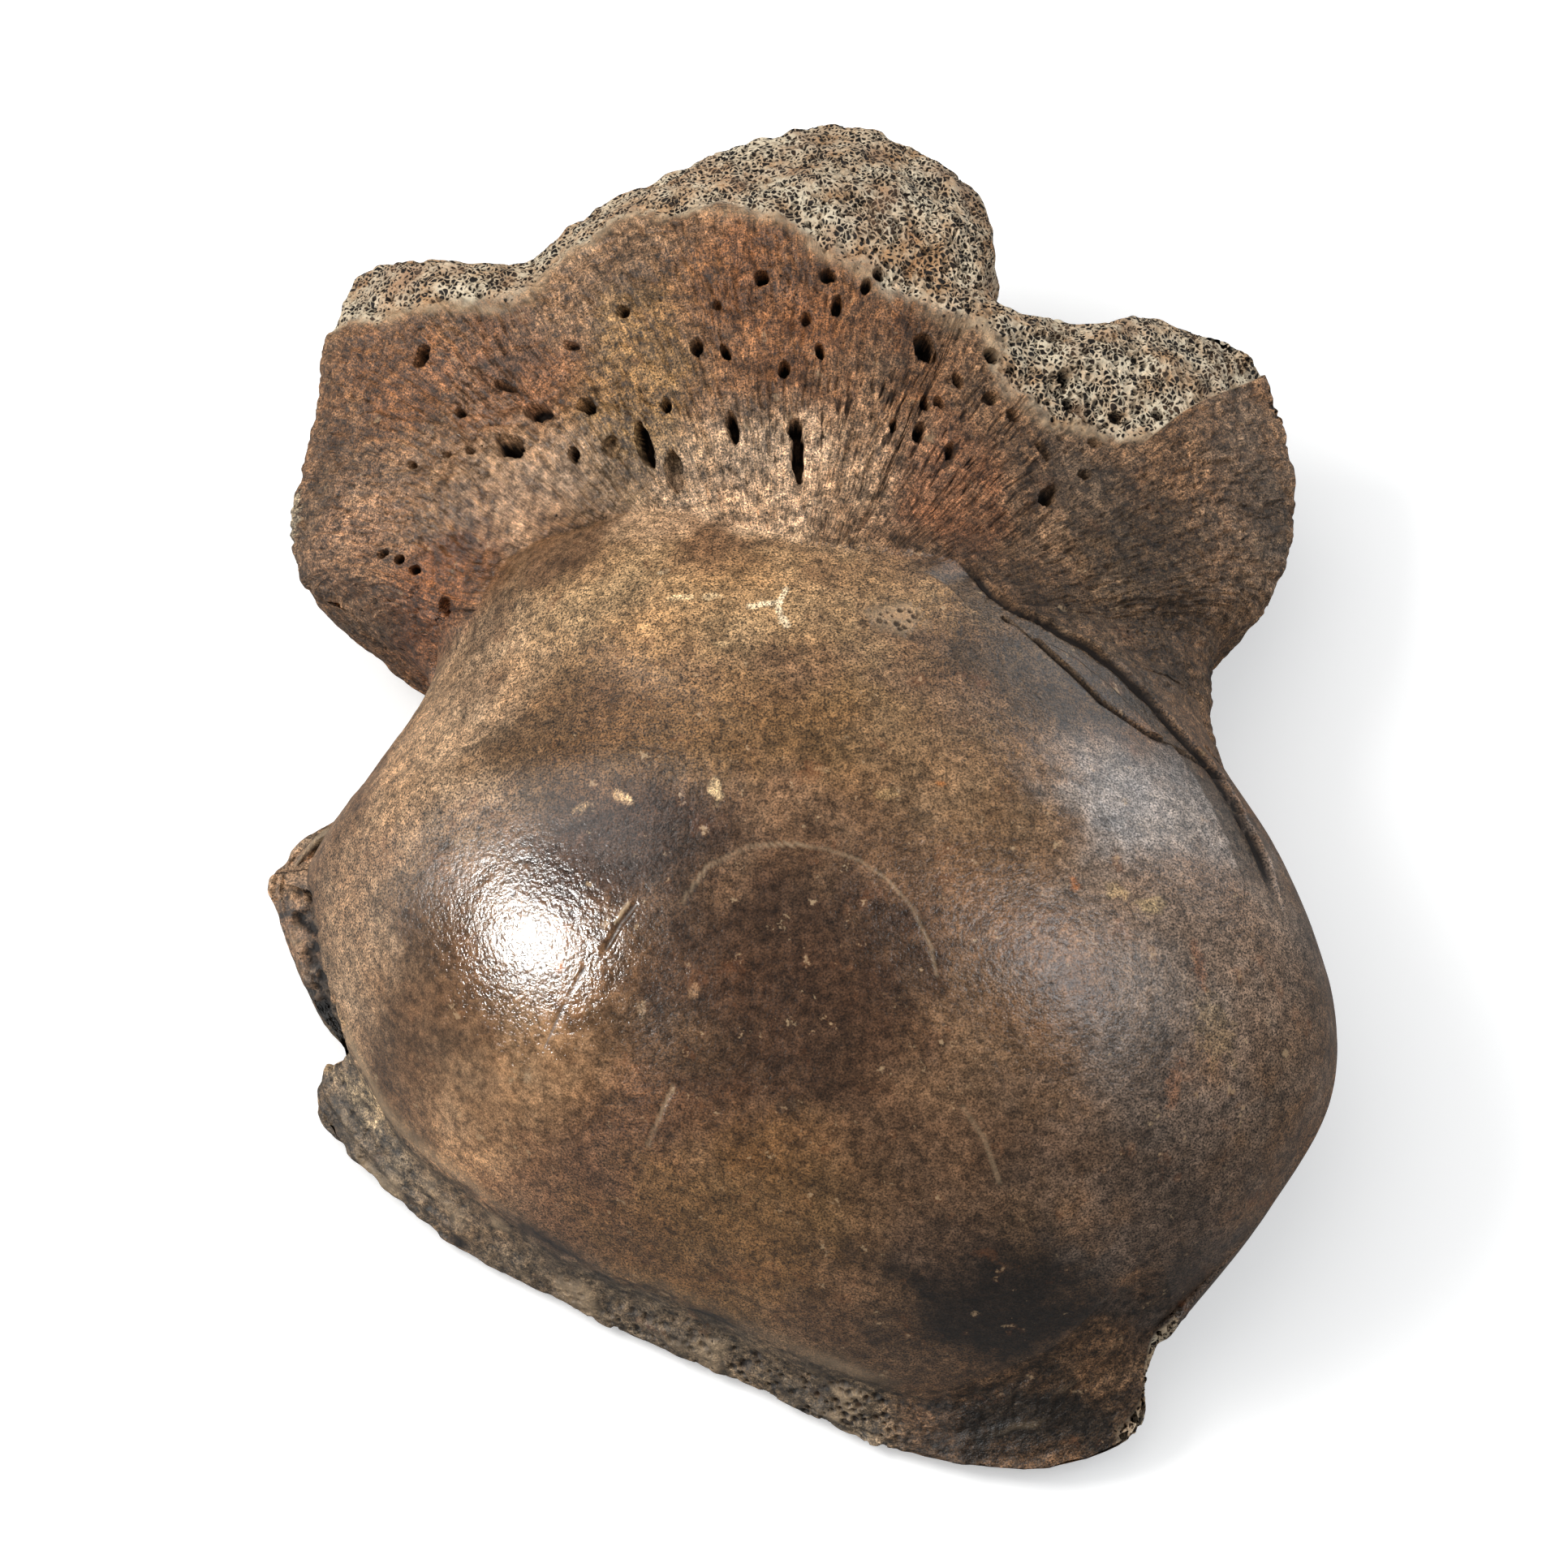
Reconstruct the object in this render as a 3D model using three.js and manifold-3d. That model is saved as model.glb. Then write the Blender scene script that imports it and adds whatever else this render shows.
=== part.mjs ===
// Ball end of a mammoth's limb bone, life size: the loose growth cap of a young animal's upper
// arm bone. A smooth joint ball, a pitted crest of three lobes behind it, a broken rim at the
// left, and a rough underside that once lay on the growing shaft.
// Millimetres, +Z up from the floor. The origin is on the floor under the middle of the bone.
// +Y runs from the ball to the crest, and +X to the right of someone who looks along +Y.
import * as THREE from 'three';
import { mergeVertices } from 'three/addons/utils/BufferGeometryUtils.js';
import Module from 'manifold-3d';

const ballTop = new THREE.Vector3(-1, -25, 118);   // highest point of the joint ball
const hub = new THREE.Vector2(-3, -5);             // every row of the surface goes round it

// The widest line of the bone, anticlockwise from the right, one entry for each thing that
// a person would name there. Points are x, y and height. roll: how wide the crest's border
// rounds over to the line. crest and wall: how much the strip inside the line is crest or
// upright wall, the rest being ball. flare: how much that wall spreads out at its foot.
// pinch: how hollow the side below the line is.
const widestLine = [
  { name: 'right waist', roll: 14, crest: 0.8, wall: 0, pinch: 4,
    points: [[95, 15, 46], [97, 32, 45]] },
  { name: 'right lobe', roll: 26, crest: 1, wall: 0, pinch: 3,
    points: [[108, 44, 43], [115, 62, 42], [113, 87, 50], [104, 102, 56], [82, 107, 62], [68, 102, 65]] },
  { name: 'notch', roll: 14, crest: 1, wall: 0, pinch: 3,
    points: [[58, 102, 67], [47, 104, 70]] },
  { name: 'middle lobe', roll: 32, crest: 1, wall: 0, pinch: 6,
    points: [[47, 121, 72], [39, 137, 72], [21, 149, 74], [4, 150, 75], [-14, 144, 75], [-43, 132, 71], [-62, 119, 65]] },
  { name: 'left lobe', roll: 18, crest: 1, wall: 0, pinch: 4,
    points: [[-78, 120, 60], [-97, 123, 56], [-107, 111, 54], [-111, 85, 50], [-115, 62, 47], [-112, 49, 44]] },
  { name: 'left lobe corner', roll: 14, crest: 0.8, wall: 0, pinch: 12,
    points: [[-99, 40, 42]] },
  { name: 'left waist', roll: 14, crest: 0.1, wall: 0, pinch: 5,
    points: [[-83, 26, 38], [-86, 13, 35], [-100, -1, 29]] },
  { name: 'rim knob', roll: 14, crest: 0, wall: 1, pinch: 2,
    points: [[-115, -11, 26], [-119, -19, 24], [-116, -30, 20], [-108, -48, 15]] },
  { name: 'rim break', roll: 14, crest: 0, wall: 1, pinch: 1,
    points: [[-102, -56, 13], [-108, -62, 12]] },
  { name: 'rim', roll: 14, crest: 0, wall: 1, pinch: 0,
    points: [[-105, -71, 8], [-85, -92, 5], [-46, -115, 5], [-4, -134, 5], [16, -144, 5]] },
  { name: 'rim foot', roll: 14, crest: 0, wall: 1, flare: 0.5, pinch: 1,
    points: [[38, -150, 7], [60, -151, 10], [77, -144, 14]] },
  { name: 'broken face of the foot', roll: 14, crest: 0, wall: 0.5, flare: 0.4, pinch: 1,
    points: [[80, -129, 24]] },
  { name: 'ball side', roll: 14, crest: 0, wall: 0, pinch: 0,
    points: [[85, -125, 34], [105, -102, 45], [119, -78, 49], [120, -55, 50], [111, -27, 49], [99, -5, 47]] },
];

// Edge of the smooth joint surface, x and y: its height is the ball's own.
const jointEdge = [
  [87, -5], [72, 8], [60, 14], [47, 20], [37, 30], [4, 32], [-14, 38], [-30, 44], [-47, 42],
  [-61, 40], [-69, 31], [-78, 12], [-83, 4], [-91, -2], [-101, -8], [-110, -16], [-111, -26],
  [-108, -36], [-104, -49], [-100, -59], [-90, -77], [-68, -97], [-45, -111], [-26, -119],
  [6, -133], [21, -137], [33, -138], [46, -136], [58, -132], [69, -125], [79, -116], [90, -104],
  [100, -88], [108, -70], [108, -51], [101, -27], [94, -12],
];

// Where the ball would meet the level of its widest line: its free side, then the part that
// is hidden in the crest and in the rim. Points are x, y and height.
const ballEquator = [
  [105, -102, 45], [119, -78, 49], [120, -55, 50], [111, -27, 49], [99, -5, 47],
  [83, 26, 46], [55, 50, 46], [20, 66, 46], [-20, 70, 46], [-52, 64, 46], [-75, 42, 44],
  [-83, 22, 38], [-98, 0, 27], [-112, -20, 16], [-112, -37, 9],
  [-107, -53, 4], [-94, -77, 0], [-71, -100, 0], [-43, -116, 0], [-15, -128, 0], [11, -137, 2],
  [41, -139, 9], [68, -132, 21], [91, -117, 37],
];

// Sharp border of the underside, x and y.
const footLine = [
  [80, 14], [83, 34], [94, 50], [100, 66], [97, 82], [88, 92], [70, 92], [51, 94],
  [39, 114], [24, 131], [3, 136], [-20, 128], [-46, 116], [-68, 107], [-88, 108], [-97, 92],
  [-100, 70], [-95, 52], [-80, 36], [-73, 22], [-77, 6], [-92, -7], [-110, -18], [-110, -32], [-104, -46],
  [-98, -57], [-102, -64], [-100, -73], [-83, -90], [-45, -113], [-4, -132], [17, -142],
  [38, -146], [59, -146], [72, -138], [73, -124],
  [74, -110], [84, -90], [92, -68], [92, -46], [86, -24], [79, -4],
];

// The crest's upper face is highest at its middle and falls to both sides and to the back.
const crestTop = { x: -2, y: 104, height: 99, sideFall: 30, sideReach: 92, backFall: 12, backReach: 40 };
const neck = { width: 26, dip: 3 };     // the dip between the ball and the crest

// Broad swellings and hollows of the crest: x, y, half widths in x and y, and height.
const swellings = [
  { name: 'hollow beside the left lobe', at: [-60, 88], reach: [14, 24], height: -7 },
  { name: 'left lobe brow', at: [-92, 106], reach: [18, 12], height: 4 },
  { name: 'middle lobe brow', at: [10, 118], reach: [34, 14], height: 4 },
  { name: 'hollow beside the right lobe', at: [66, 66], reach: [20, 18], height: -5 },
  { name: 'right lobe brow', at: [92, 84], reach: [14, 20], height: 4 },
  { name: 'pocket in the middle lobe', at: [-6, 127], reach: [6, 6], height: -5 },
];

// Where the spongy inside of the bone lies open and worn down: outside this line, x and y.
const spongeBorder = [
  [104, 92], [94, 82], [86, 74], [76, 72], [60, 72], [48, 76], [45, 86], [43, 91], [32, 93],
  [22, 96], [13, 102], [4, 107], [-3, 114], [-27, 118], [-40, 119], [-51, 113], [-61, 105],
  [-70, 102], [-84, 103], [-98, 105], [-110, 108],
];
const spongeSink = 1;           // how far it is worn down
const spongeRoughness = 0.8;    // how much higher the small lumps are there, as a share

// Lumps of the crest and the rim: size of their waves, and height.
const broadLumps = { size: 23, height: 0.8, seed: 31 };
const smallLumps = { size: 9, height: 0.6, seed: 32 };
const rimLumps = 0.5;           // how high they are on the rim, as a share

// At the right the crest's lip stands over a sunken strip of the ball. Angles from the hub.
const lip = { from: 44, to: -22, fade: 7, sink: 1.4, raise: 0.7, width: 9 };

// Along the rim a bead stands over a groove: distances out from the joint's edge.
const bead = { out: -0.6, width: 0.9, height: 0.45 };
const groove = { out: 2.6, width: 1.3, depth: 1.3 };

// Blood vessel holes of the crest: x, y, width, length, and turn from the y axis in degrees.
const vesselHoles = [
  [-2, 97, 3.2, 3.4, 0], [13, 98, 2.6, 3, 20], [34, 81, 5, 7, 25], [48, 81, 3.2, 3.2, 0],
  [-33, 92, 2.6, 3.4, 0], [-17, 83, 2.6, 3.4, 0], [2, 79, 3, 4, 0], [-41, 72, 3.2, 4.6, 35],
  [-52, 71, 5, 5.4, 50], [-59, 63, 4.4, 6, 50], [-29, 61, 3.2, 7, 20], [-9, 61, 2.4, 6, 10],
  [5, 54, 2.8, 10, 0], [33, 62, 2.4, 4, -10], [60, 45, 2.8, 6, -25], [66, 68, 2.8, 3.2, 0],
];
const holeDepth = 9;
const holeTaper = 0.55;
const holeSides = 8;

const crevice = { from: [-112, -14], to: [-110, -29], width: 2.6, depth: 6 };

const spokeCount = 160;
const ballRows = 11;
const stripRows = 11;
const sideRows = 5;
const underRows = 6;
const borderHeight = 3;        // the underside's sharp border stands this far off the floor
const padInset = 4;            // the resting pads begin this far inside that border
const padWidth = 9;
const padCount = 6;
const padGap = 2.4;            // how far the pads' ring lifts off the floor between two pads
const underHollow = 10;        // depth of the underside's middle
const billow = { height: 0.3, x: 15, y: 19 };   // swell of the underside, as a share, and its waves
const buttress = { height: 1.6, count: 19 };    // upright swells of the crest's sides
const sideTurn = 1.1;          // how far round the side curves under, in radians
const wallHollow = 1.2;        // how far the rim's wall sinks in below the joint's edge

const mix = THREE.MathUtils.lerp;
const smooth = (t) => THREE.MathUtils.smoothstep(t, 0, 1);
const bell = (t) => Math.exp(-t * t);

function closedCurve(points) {
  const corners = points.map(([x, y, z = 0]) => new THREE.Vector3(x, y, z));
  return new THREE.CatmullRomCurve3(corners, true, 'centripetal');
}

// Distance and height of a closed line as seen from a middle point, for any direction.
function lineRound(points, middle) {
  const turn = 2 * Math.PI;
  const seen = closedCurve(points).getPoints(points.length * 24).slice(0, -1).map((point) => {
    const away = new THREE.Vector2(point.x - middle.x, point.y - middle.y);
    return { angle: away.angle(), reach: away.length(), height: point.z };
  }).sort((one, other) => one.angle - other.angle);
  return (angle) => {
    const wanted = THREE.MathUtils.euclideanModulo(angle, turn);
    const found = Math.max(seen.findIndex((place) => place.angle > wanted), 0);
    const next = seen[found];
    const last = seen.at(found - 1);
    const gap = THREE.MathUtils.euclideanModulo(next.angle - last.angle, turn) || 1;
    const part = THREE.MathUtils.euclideanModulo(wanted - last.angle, turn) / gap;
    return { reach: mix(last.reach, next.reach, part), height: mix(last.height, next.height, part) };
  };
}

const equatorRound = lineRound(ballEquator, ballTop);
const jointEdgeRound = lineRound(jointEdge, hub);
const footLineRound = lineRound(footLine, hub);

// An even random number from 0 to 1 for each whole-number cube of space.
function hashed(x, y, z, seed) {
  let value = Math.imul(x, 73856093) ^ Math.imul(y, 19349663) ^ Math.imul(z, 83492791);
  value ^= Math.imul(seed, 374761);
  value = Math.imul(value ^ (value >>> 15), 739982445);
  value = Math.imul(value ^ (value >>> 12), 695872825);
  return (value >>> 8) / 2 ** 24;
}

// Smooth noise from -1 to 1: random values at the corners of cubes, blended between them.
function cloud(place, size, seed) {
  const scaled = place.clone().divideScalar(size);
  const low = scaled.clone().floor();
  const part = scaled.sub(low);
  const along = (y, z) => mix(
    hashed(low.x, low.y + y, low.z + z, seed),
    hashed(low.x + 1, low.y + y, low.z + z, seed),
    smooth(part.x),
  );
  const layer = (z) => mix(along(0, z), along(1, z), smooth(part.y));
  return 2 * mix(layer(0), layer(1), smooth(part.z)) - 1;
}

// The ball is a quarter of an ellipse in every upright section through its top.
function ballHeight(x, y) {
  const away = new THREE.Vector2(x - ballTop.x, y - ballTop.y);
  const equator = equatorRound(away.angle());
  const share = Math.min(away.length() / equator.reach, 1);
  return equator.height + (ballTop.z - equator.height) * Math.sqrt(1 - share * share);
}

function swellingAt(x, y) {
  return swellings.reduce((sum, { at, reach, height }) => {
    const across = (x - at[0]) / reach[0];
    const along = (y - at[1]) / reach[1];
    return sum + height * Math.exp(-across * across - along * along);
  }, 0);
}

function crestFace(x, y) {
  const side = (x - crestTop.x) / crestTop.sideReach;
  const back = Math.max(y - crestTop.y, 0) / crestTop.backReach;
  return crestTop.height - crestTop.sideFall * side * side - crestTop.backFall * back * back;
}

// The crest's face leaves the ball at the joint's edge, dips a little at the neck, and rolls
// over to the widest line as a quarter of an ellipse.
function crestHeight(spoke, s, x, y) {
  const out = Math.min(s * spoke.width / neck.width, 1);
  const step = (spoke.joint.z - crestFace(spoke.joint.x, spoke.joint.y)) * (1 - smooth(out));
  const face = crestFace(x, y) + step - neck.dip * Math.sin(Math.PI * out);
  const over = Math.max(s - 1 + spoke.roll / spoke.width, 0) * spoke.width / spoke.roll;
  return spoke.edge.z + (face - spoke.edge.z) * Math.sqrt(Math.max(1 - over * over, 0));
}

// A spoke is one direction from the hub, with the points where it crosses each named line.
function makeSpokes() {
  const line = closedCurve(widestLine.flatMap((part) => part.points));
  const forms = widestLine.flatMap((part) => part.points.map(() => part));
  const shares = closedCurve(forms.map((form) => [form.crest, form.wall, form.flare]));
  const sizes = closedCurve(forms.map((form) => [form.roll, form.pinch]));
  const crossing = (outward, round) => outward.clone().setLength(round(outward.angle()).reach).add(hub);
  line.arcLengthDivisions = forms.length * 20;
  return Array.from({ length: spokeCount }, (_, index) => {
    const along = line.getUtoTmapping(index / spokeCount);
    const edge = line.getPoint(along);
    const share = shares.getPoint(along);
    const size = sizes.getPoint(along);
    const outward = new THREE.Vector2(edge.x - hub.x, edge.y - hub.y);
    const joint = crossing(outward, jointEdgeRound);
    return {
      edge,
      angle: outward.angle(),
      outward: outward.clone().normalize(),
      joint: new THREE.Vector3(joint.x, joint.y, ballHeight(joint.x, joint.y)),
      foot: crossing(outward, footLineRound),
      width: Math.hypot(edge.x - joint.x, edge.y - joint.y),
      roll: size.x,
      pinch: size.y,
      crest: THREE.MathUtils.clamp(share.x, 0, 1),
      wall: THREE.MathUtils.clamp(share.y, 0, 1),
      flare: THREE.MathUtils.clamp(share.z, 0, 1),
    };
  });
}

function ballPoint(spoke, share) {
  const x = mix(hub.x, spoke.joint.x, share);
  const y = mix(hub.y, spoke.joint.y, share);
  return new THREE.Vector3(x, y, ballHeight(x, y));
}

// The strip from the joint's edge to the widest line: s runs from 0 to 1 across it.
function stripPoint(spoke, s) {
  const sunk = wallHollow * spoke.wall * Math.sin(Math.PI * s);
  const x = mix(spoke.joint.x, spoke.edge.x, s) - spoke.outward.x * sunk;
  const y = mix(spoke.joint.y, spoke.edge.y, s) - spoke.outward.y * sunk;
  const ball = Math.max(1 - spoke.crest - spoke.wall, 0);
  const fallen = mix(s, 1 - (1 - s) ** 2, spoke.flare);
  const asWall = mix(spoke.joint.z, spoke.edge.z, fallen);
  const asBall = mix(ballHeight(x, y), asWall, s ** 6);
  const asCrest = crestHeight(spoke, s, x, y);
  const height = asBall * ball + asCrest * spoke.crest + asWall * spoke.wall;
  const swelling = swellingAt(x, y) * spoke.crest * Math.sin(Math.PI * s) ** 0.7;
  return new THREE.Vector3(x, y, height / (ball + spoke.crest + spoke.wall) + swelling);
}

// The side falls from the widest line and curves in to the underside's border.
function sidePoint(spoke, down) {
  const turned = down * sideTurn;
  const inset = (1 - Math.cos(turned)) / (1 - Math.cos(sideTurn));
  const swell = buttress.height * spoke.crest * Math.sin(buttress.count * spoke.angle) - spoke.pinch;
  const outset = swell * Math.sin(Math.PI * down);
  return new THREE.Vector3(
    mix(spoke.edge.x, spoke.foot.x, inset) + spoke.outward.x * outset,
    mix(spoke.edge.y, spoke.foot.y, inset) + spoke.outward.y * outset,
    mix(spoke.edge.z, borderHeight, Math.sin(turned) / Math.sin(sideTurn)),
  );
}

// The underside: a ring of flat pads at floor level, then a shallow, billowed hollow.
function underPoint(spoke, row) {
  const reach = spoke.foot.distanceTo(hub);
  const padEnd = (padInset + padWidth) / reach;
  const share = row === 1 ? padInset / reach : mix(padEnd, 1, (row - 2) / (underRows - 2));
  const x = mix(spoke.foot.x, hub.x, share);
  const y = mix(spoke.foot.y, hub.y, share);
  const inside = row === 1 ? 0 : 1 - ((1 - share) / (1 - padEnd)) ** 2;
  const lift = padGap * Math.max(Math.sin(padCount * spoke.angle) - 0.25, 0);
  const swell = 1 + billow.height * Math.sin(x / billow.x) * Math.sin(y / billow.y);
  return new THREE.Vector3(x, y, lift * (1 - inside) + underHollow * inside * swell);
}

// How much the spongy inside lies open at a place: 1 outside the sponge border.
function spongeShare(spoke, point) {
  const border = spongeBorder.map(([x, y]) => new THREE.Vector2(x - hub.x, y - hub.y));
  const next = border.findIndex((corner) => corner.angle() > spoke.angle);
  if (next < 1) return 0;
  const start = border[next - 1];
  const end = border[next];
  const part = (spoke.angle - start.angle()) / (end.angle() - start.angle());
  const reach = mix(start.length(), end.length(), part);
  return smooth((Math.hypot(point.x - hub.x, point.y - hub.y) - reach) / 2.5 + 0.5);
}

// How much the crest's lip overhangs the ball in a direction: 1 between its two ends.
function lipShare(angle) {
  const turned = THREE.MathUtils.radToDeg(angle > Math.PI ? angle - 2 * Math.PI : angle);
  return smooth((lip.from - turned) / lip.fade) * smooth((turned - lip.to) / lip.fade);
}

// Relief of the surface along its normals: the crest's and the rim's lumps, the worn sponge,
// the lip over its strip, and the rim's bead. past is the way out from the joint's edge.
function reliefAt(spoke, point, past) {
  const outside = smooth(past / 5 + 0.6) * Math.max(spoke.crest, rimLumps * spoke.wall);
  const sponge = spongeShare(spoke, point);
  const small = smallLumps.height * (1 + spongeRoughness * sponge);
  const lumpy = broadLumps.height * cloud(point, broadLumps.size, broadLumps.seed)
    + small * cloud(point, smallLumps.size, smallLumps.seed);
  const strip = smooth((past + lip.width) / 1.2) * smooth(1 - past / 1.2);
  const raised = lip.raise * bell(Math.max(past, 0) / 3) * smooth(past / 0.7);
  const ridge = bead.height * bell((past - bead.out) / bead.width)
    - groove.depth * bell((past - groove.out) / groove.width);
  return outside * (lumpy - spongeSink * sponge) + lipShare(spoke.angle) * (raised - lip.sink * strip)
    + spoke.wall * (1 - spoke.flare) * ridge;
}

// A point of one row of the surface, and the relief there.
function surfacePoint(spoke, row) {
  const jointReach = Math.hypot(spoke.joint.x - hub.x, spoke.joint.y - hub.y);
  const share = row / ballRows;
  if (share <= 1) {
    const point = ballPoint(spoke, share);
    return { point, lift: reliefAt(spoke, point, (share - 1) * jointReach) };
  }
  const across = (row - ballRows) / stripRows;
  if (across <= 1) {
    const s = 1 - (1 - across) ** 1.5;
    const point = stripPoint(spoke, s);
    return { point, lift: reliefAt(spoke, point, s * spoke.width) };
  }
  const down = (row - ballRows - stripRows) / sideRows;
  if (down < 1) {
    const point = sidePoint(spoke, down);
    return { point, lift: reliefAt(spoke, point, spoke.width + down * spoke.edge.z) };
  }
  const under = row - ballRows - stripRows - sideRows;
  return { point: under ? underPoint(spoke, under) : sidePoint(spoke, 1), lift: 0 };
}

// A sphere's grid takes the bone's shape: its top pole lies on the ball, its lower pole
// under the hub, and each row between them is one of the rows above. Then it gets its relief.
function boneGeometry() {
  const spokes = makeSpokes();
  const rows = ballRows + stripRows + sideRows + underRows;
  const grid = new THREE.SphereGeometry(1, spokeCount, rows);
  const lifts = new THREE.BufferAttribute(new Float32Array(grid.getAttribute('position').count), 1);
  for (let row = 0; row <= rows; row += 1) {
    for (let column = 0; column <= spokeCount; column += 1) {
      const index = row * (spokeCount + 1) + column;
      const { point, lift } = surfacePoint(spokes[column % spokeCount], row);
      grid.getAttribute('position').setXYZ(index, point.x, point.y, point.z);
      lifts.setX(index, lift);
    }
  }
  grid.setAttribute('lift', lifts);
  const surface = joined(grid);
  surface.computeVertexNormals();
  const place = new THREE.Vector3();
  const normal = new THREE.Vector3();
  const position = surface.getAttribute('position');
  for (let index = 0; index < position.count; index += 1) {
    normal.fromBufferAttribute(surface.getAttribute('normal'), index);
    place.fromBufferAttribute(position, index);
    place.addScaledVector(normal, surface.getAttribute('lift').getX(index));
    position.setXYZ(index, place.x, place.y, Math.max(place.z, 0));
  }
  return surface;
}

// The same geometry with one vertex at each place, and without normals.
function joined(geometry) {
  const bare = geometry.clone();
  bare.deleteAttribute('normal');
  bare.deleteAttribute('uv');
  return mergeVertices(bare, 1e-4);
}

const wasm = await Module();
wasm.setup();

function toSolid(geometry) {
  const merged = joined(geometry);
  return new wasm.Manifold(new wasm.Mesh({
    numProp: 3,
    vertProperties: new Float32Array(merged.getAttribute('position').array),
    triVerts: new Uint32Array(merged.index.array),
  }));
}

function toGeometry(solid) {
  const mesh = solid.getMesh();
  const geometry = new THREE.BufferGeometry();
  geometry.setAttribute('position', new THREE.BufferAttribute(new Float32Array(mesh.vertProperties), 3));
  geometry.setIndex(new THREE.BufferAttribute(new Uint32Array(mesh.triVerts), 1));
  geometry.computeVertexNormals();
  return geometry;
}

function surfaceUnder(mesh, x, y) {
  const ray = new THREE.Raycaster(new THREE.Vector3(x, y, 2 * ballTop.z), new THREE.Vector3(0, 0, -1));
  return ray.intersectObject(mesh)[0];
}

// A vessel hole runs into the bone against the surface and narrows as it goes.
function vesselHole(mesh, [x, y, width, length, turn]) {
  const hit = surfaceUnder(mesh, x, y);
  const cone = new THREE.CylinderGeometry(0.5, 0.5 * holeTaper, 1, holeSides);
  cone.scale(width, 2 * holeDepth, length);
  const lie = new THREE.Matrix4().makeRotationY(THREE.MathUtils.degToRad(turn));
  const upright = new THREE.Quaternion().setFromUnitVectors(new THREE.Vector3(0, 1, 0), hit.face.normal);
  cone.applyMatrix4(lie).applyQuaternion(upright).translate(hit.point.x, hit.point.y, hit.point.z);
  return toSolid(cone);
}

// The crevice between the rim knob and the ball is a long, pointed lens.
function creviceCut(mesh) {
  const from = new THREE.Vector2(...crevice.from);
  const to = new THREE.Vector2(...crevice.to);
  const middle = from.clone().lerp(to, 0.5);
  const hit = surfaceUnder(mesh, middle.x, middle.y);
  const lens = new THREE.SphereGeometry(0.5, 10, 6);
  lens.scale(crevice.width, from.distanceTo(to), 2 * crevice.depth);
  lens.rotateZ(to.clone().sub(from).angle() + Math.PI / 2);
  lens.translate(middle.x, middle.y, hit.point.z);
  return toSolid(lens);
}

function makeBone() {
  const shape = new THREE.Mesh(boneGeometry());
  let solid = toSolid(shape.geometry);
  for (const hole of vesselHoles) solid = solid.subtract(vesselHole(shape, hole));
  solid = solid.subtract(creviceCut(shape));
  const largest = solid.decompose().sort((one, other) => other.volume() - one.volume())[0];
  const material = new THREE.MeshStandardMaterial({ color: 0x6f5a45, roughness: 0.45, metalness: 0 });
  const mesh = new THREE.Mesh(toGeometry(largest), material);
  mesh.name = 'bone';
  return mesh;
}

const model = new THREE.Group();
model.add(makeBone());

export default model;
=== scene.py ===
"""Looks of a mammoth's limb bone ball end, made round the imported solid.

The bone's skin is one surface of two numbers: the share of the way round its widest line, and
a row that runs over the ball, the strip outside the joint, the side and the underside. It has
the solid's own named sizes, in millimetres. Relief is then raised along the surface's normals
(lumps, fibres, spongy cells, vessel holes, cracks), and the skin is cut into closed pieces
that meet along common lines. Meshes are in metres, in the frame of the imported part.
"""
import math
from itertools import product

import bpy
import numpy as np
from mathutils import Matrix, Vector


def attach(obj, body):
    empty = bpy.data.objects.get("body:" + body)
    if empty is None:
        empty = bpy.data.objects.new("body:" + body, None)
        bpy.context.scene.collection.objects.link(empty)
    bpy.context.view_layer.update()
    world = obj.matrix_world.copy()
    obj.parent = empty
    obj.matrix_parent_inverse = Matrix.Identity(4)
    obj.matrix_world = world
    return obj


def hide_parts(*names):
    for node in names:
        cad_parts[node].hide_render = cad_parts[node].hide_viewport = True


MM = 0.001
TURN = 2 * math.pi

# Shape, as in the solid.
BALL_TOP = np.array([-1.0, -25.0, 118.0])
HUB = np.array([-3.0, -5.0])
CORE = np.array([-3.0, -5.0, 40.0])   # every piece is closed by a fan to this inner point

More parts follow.
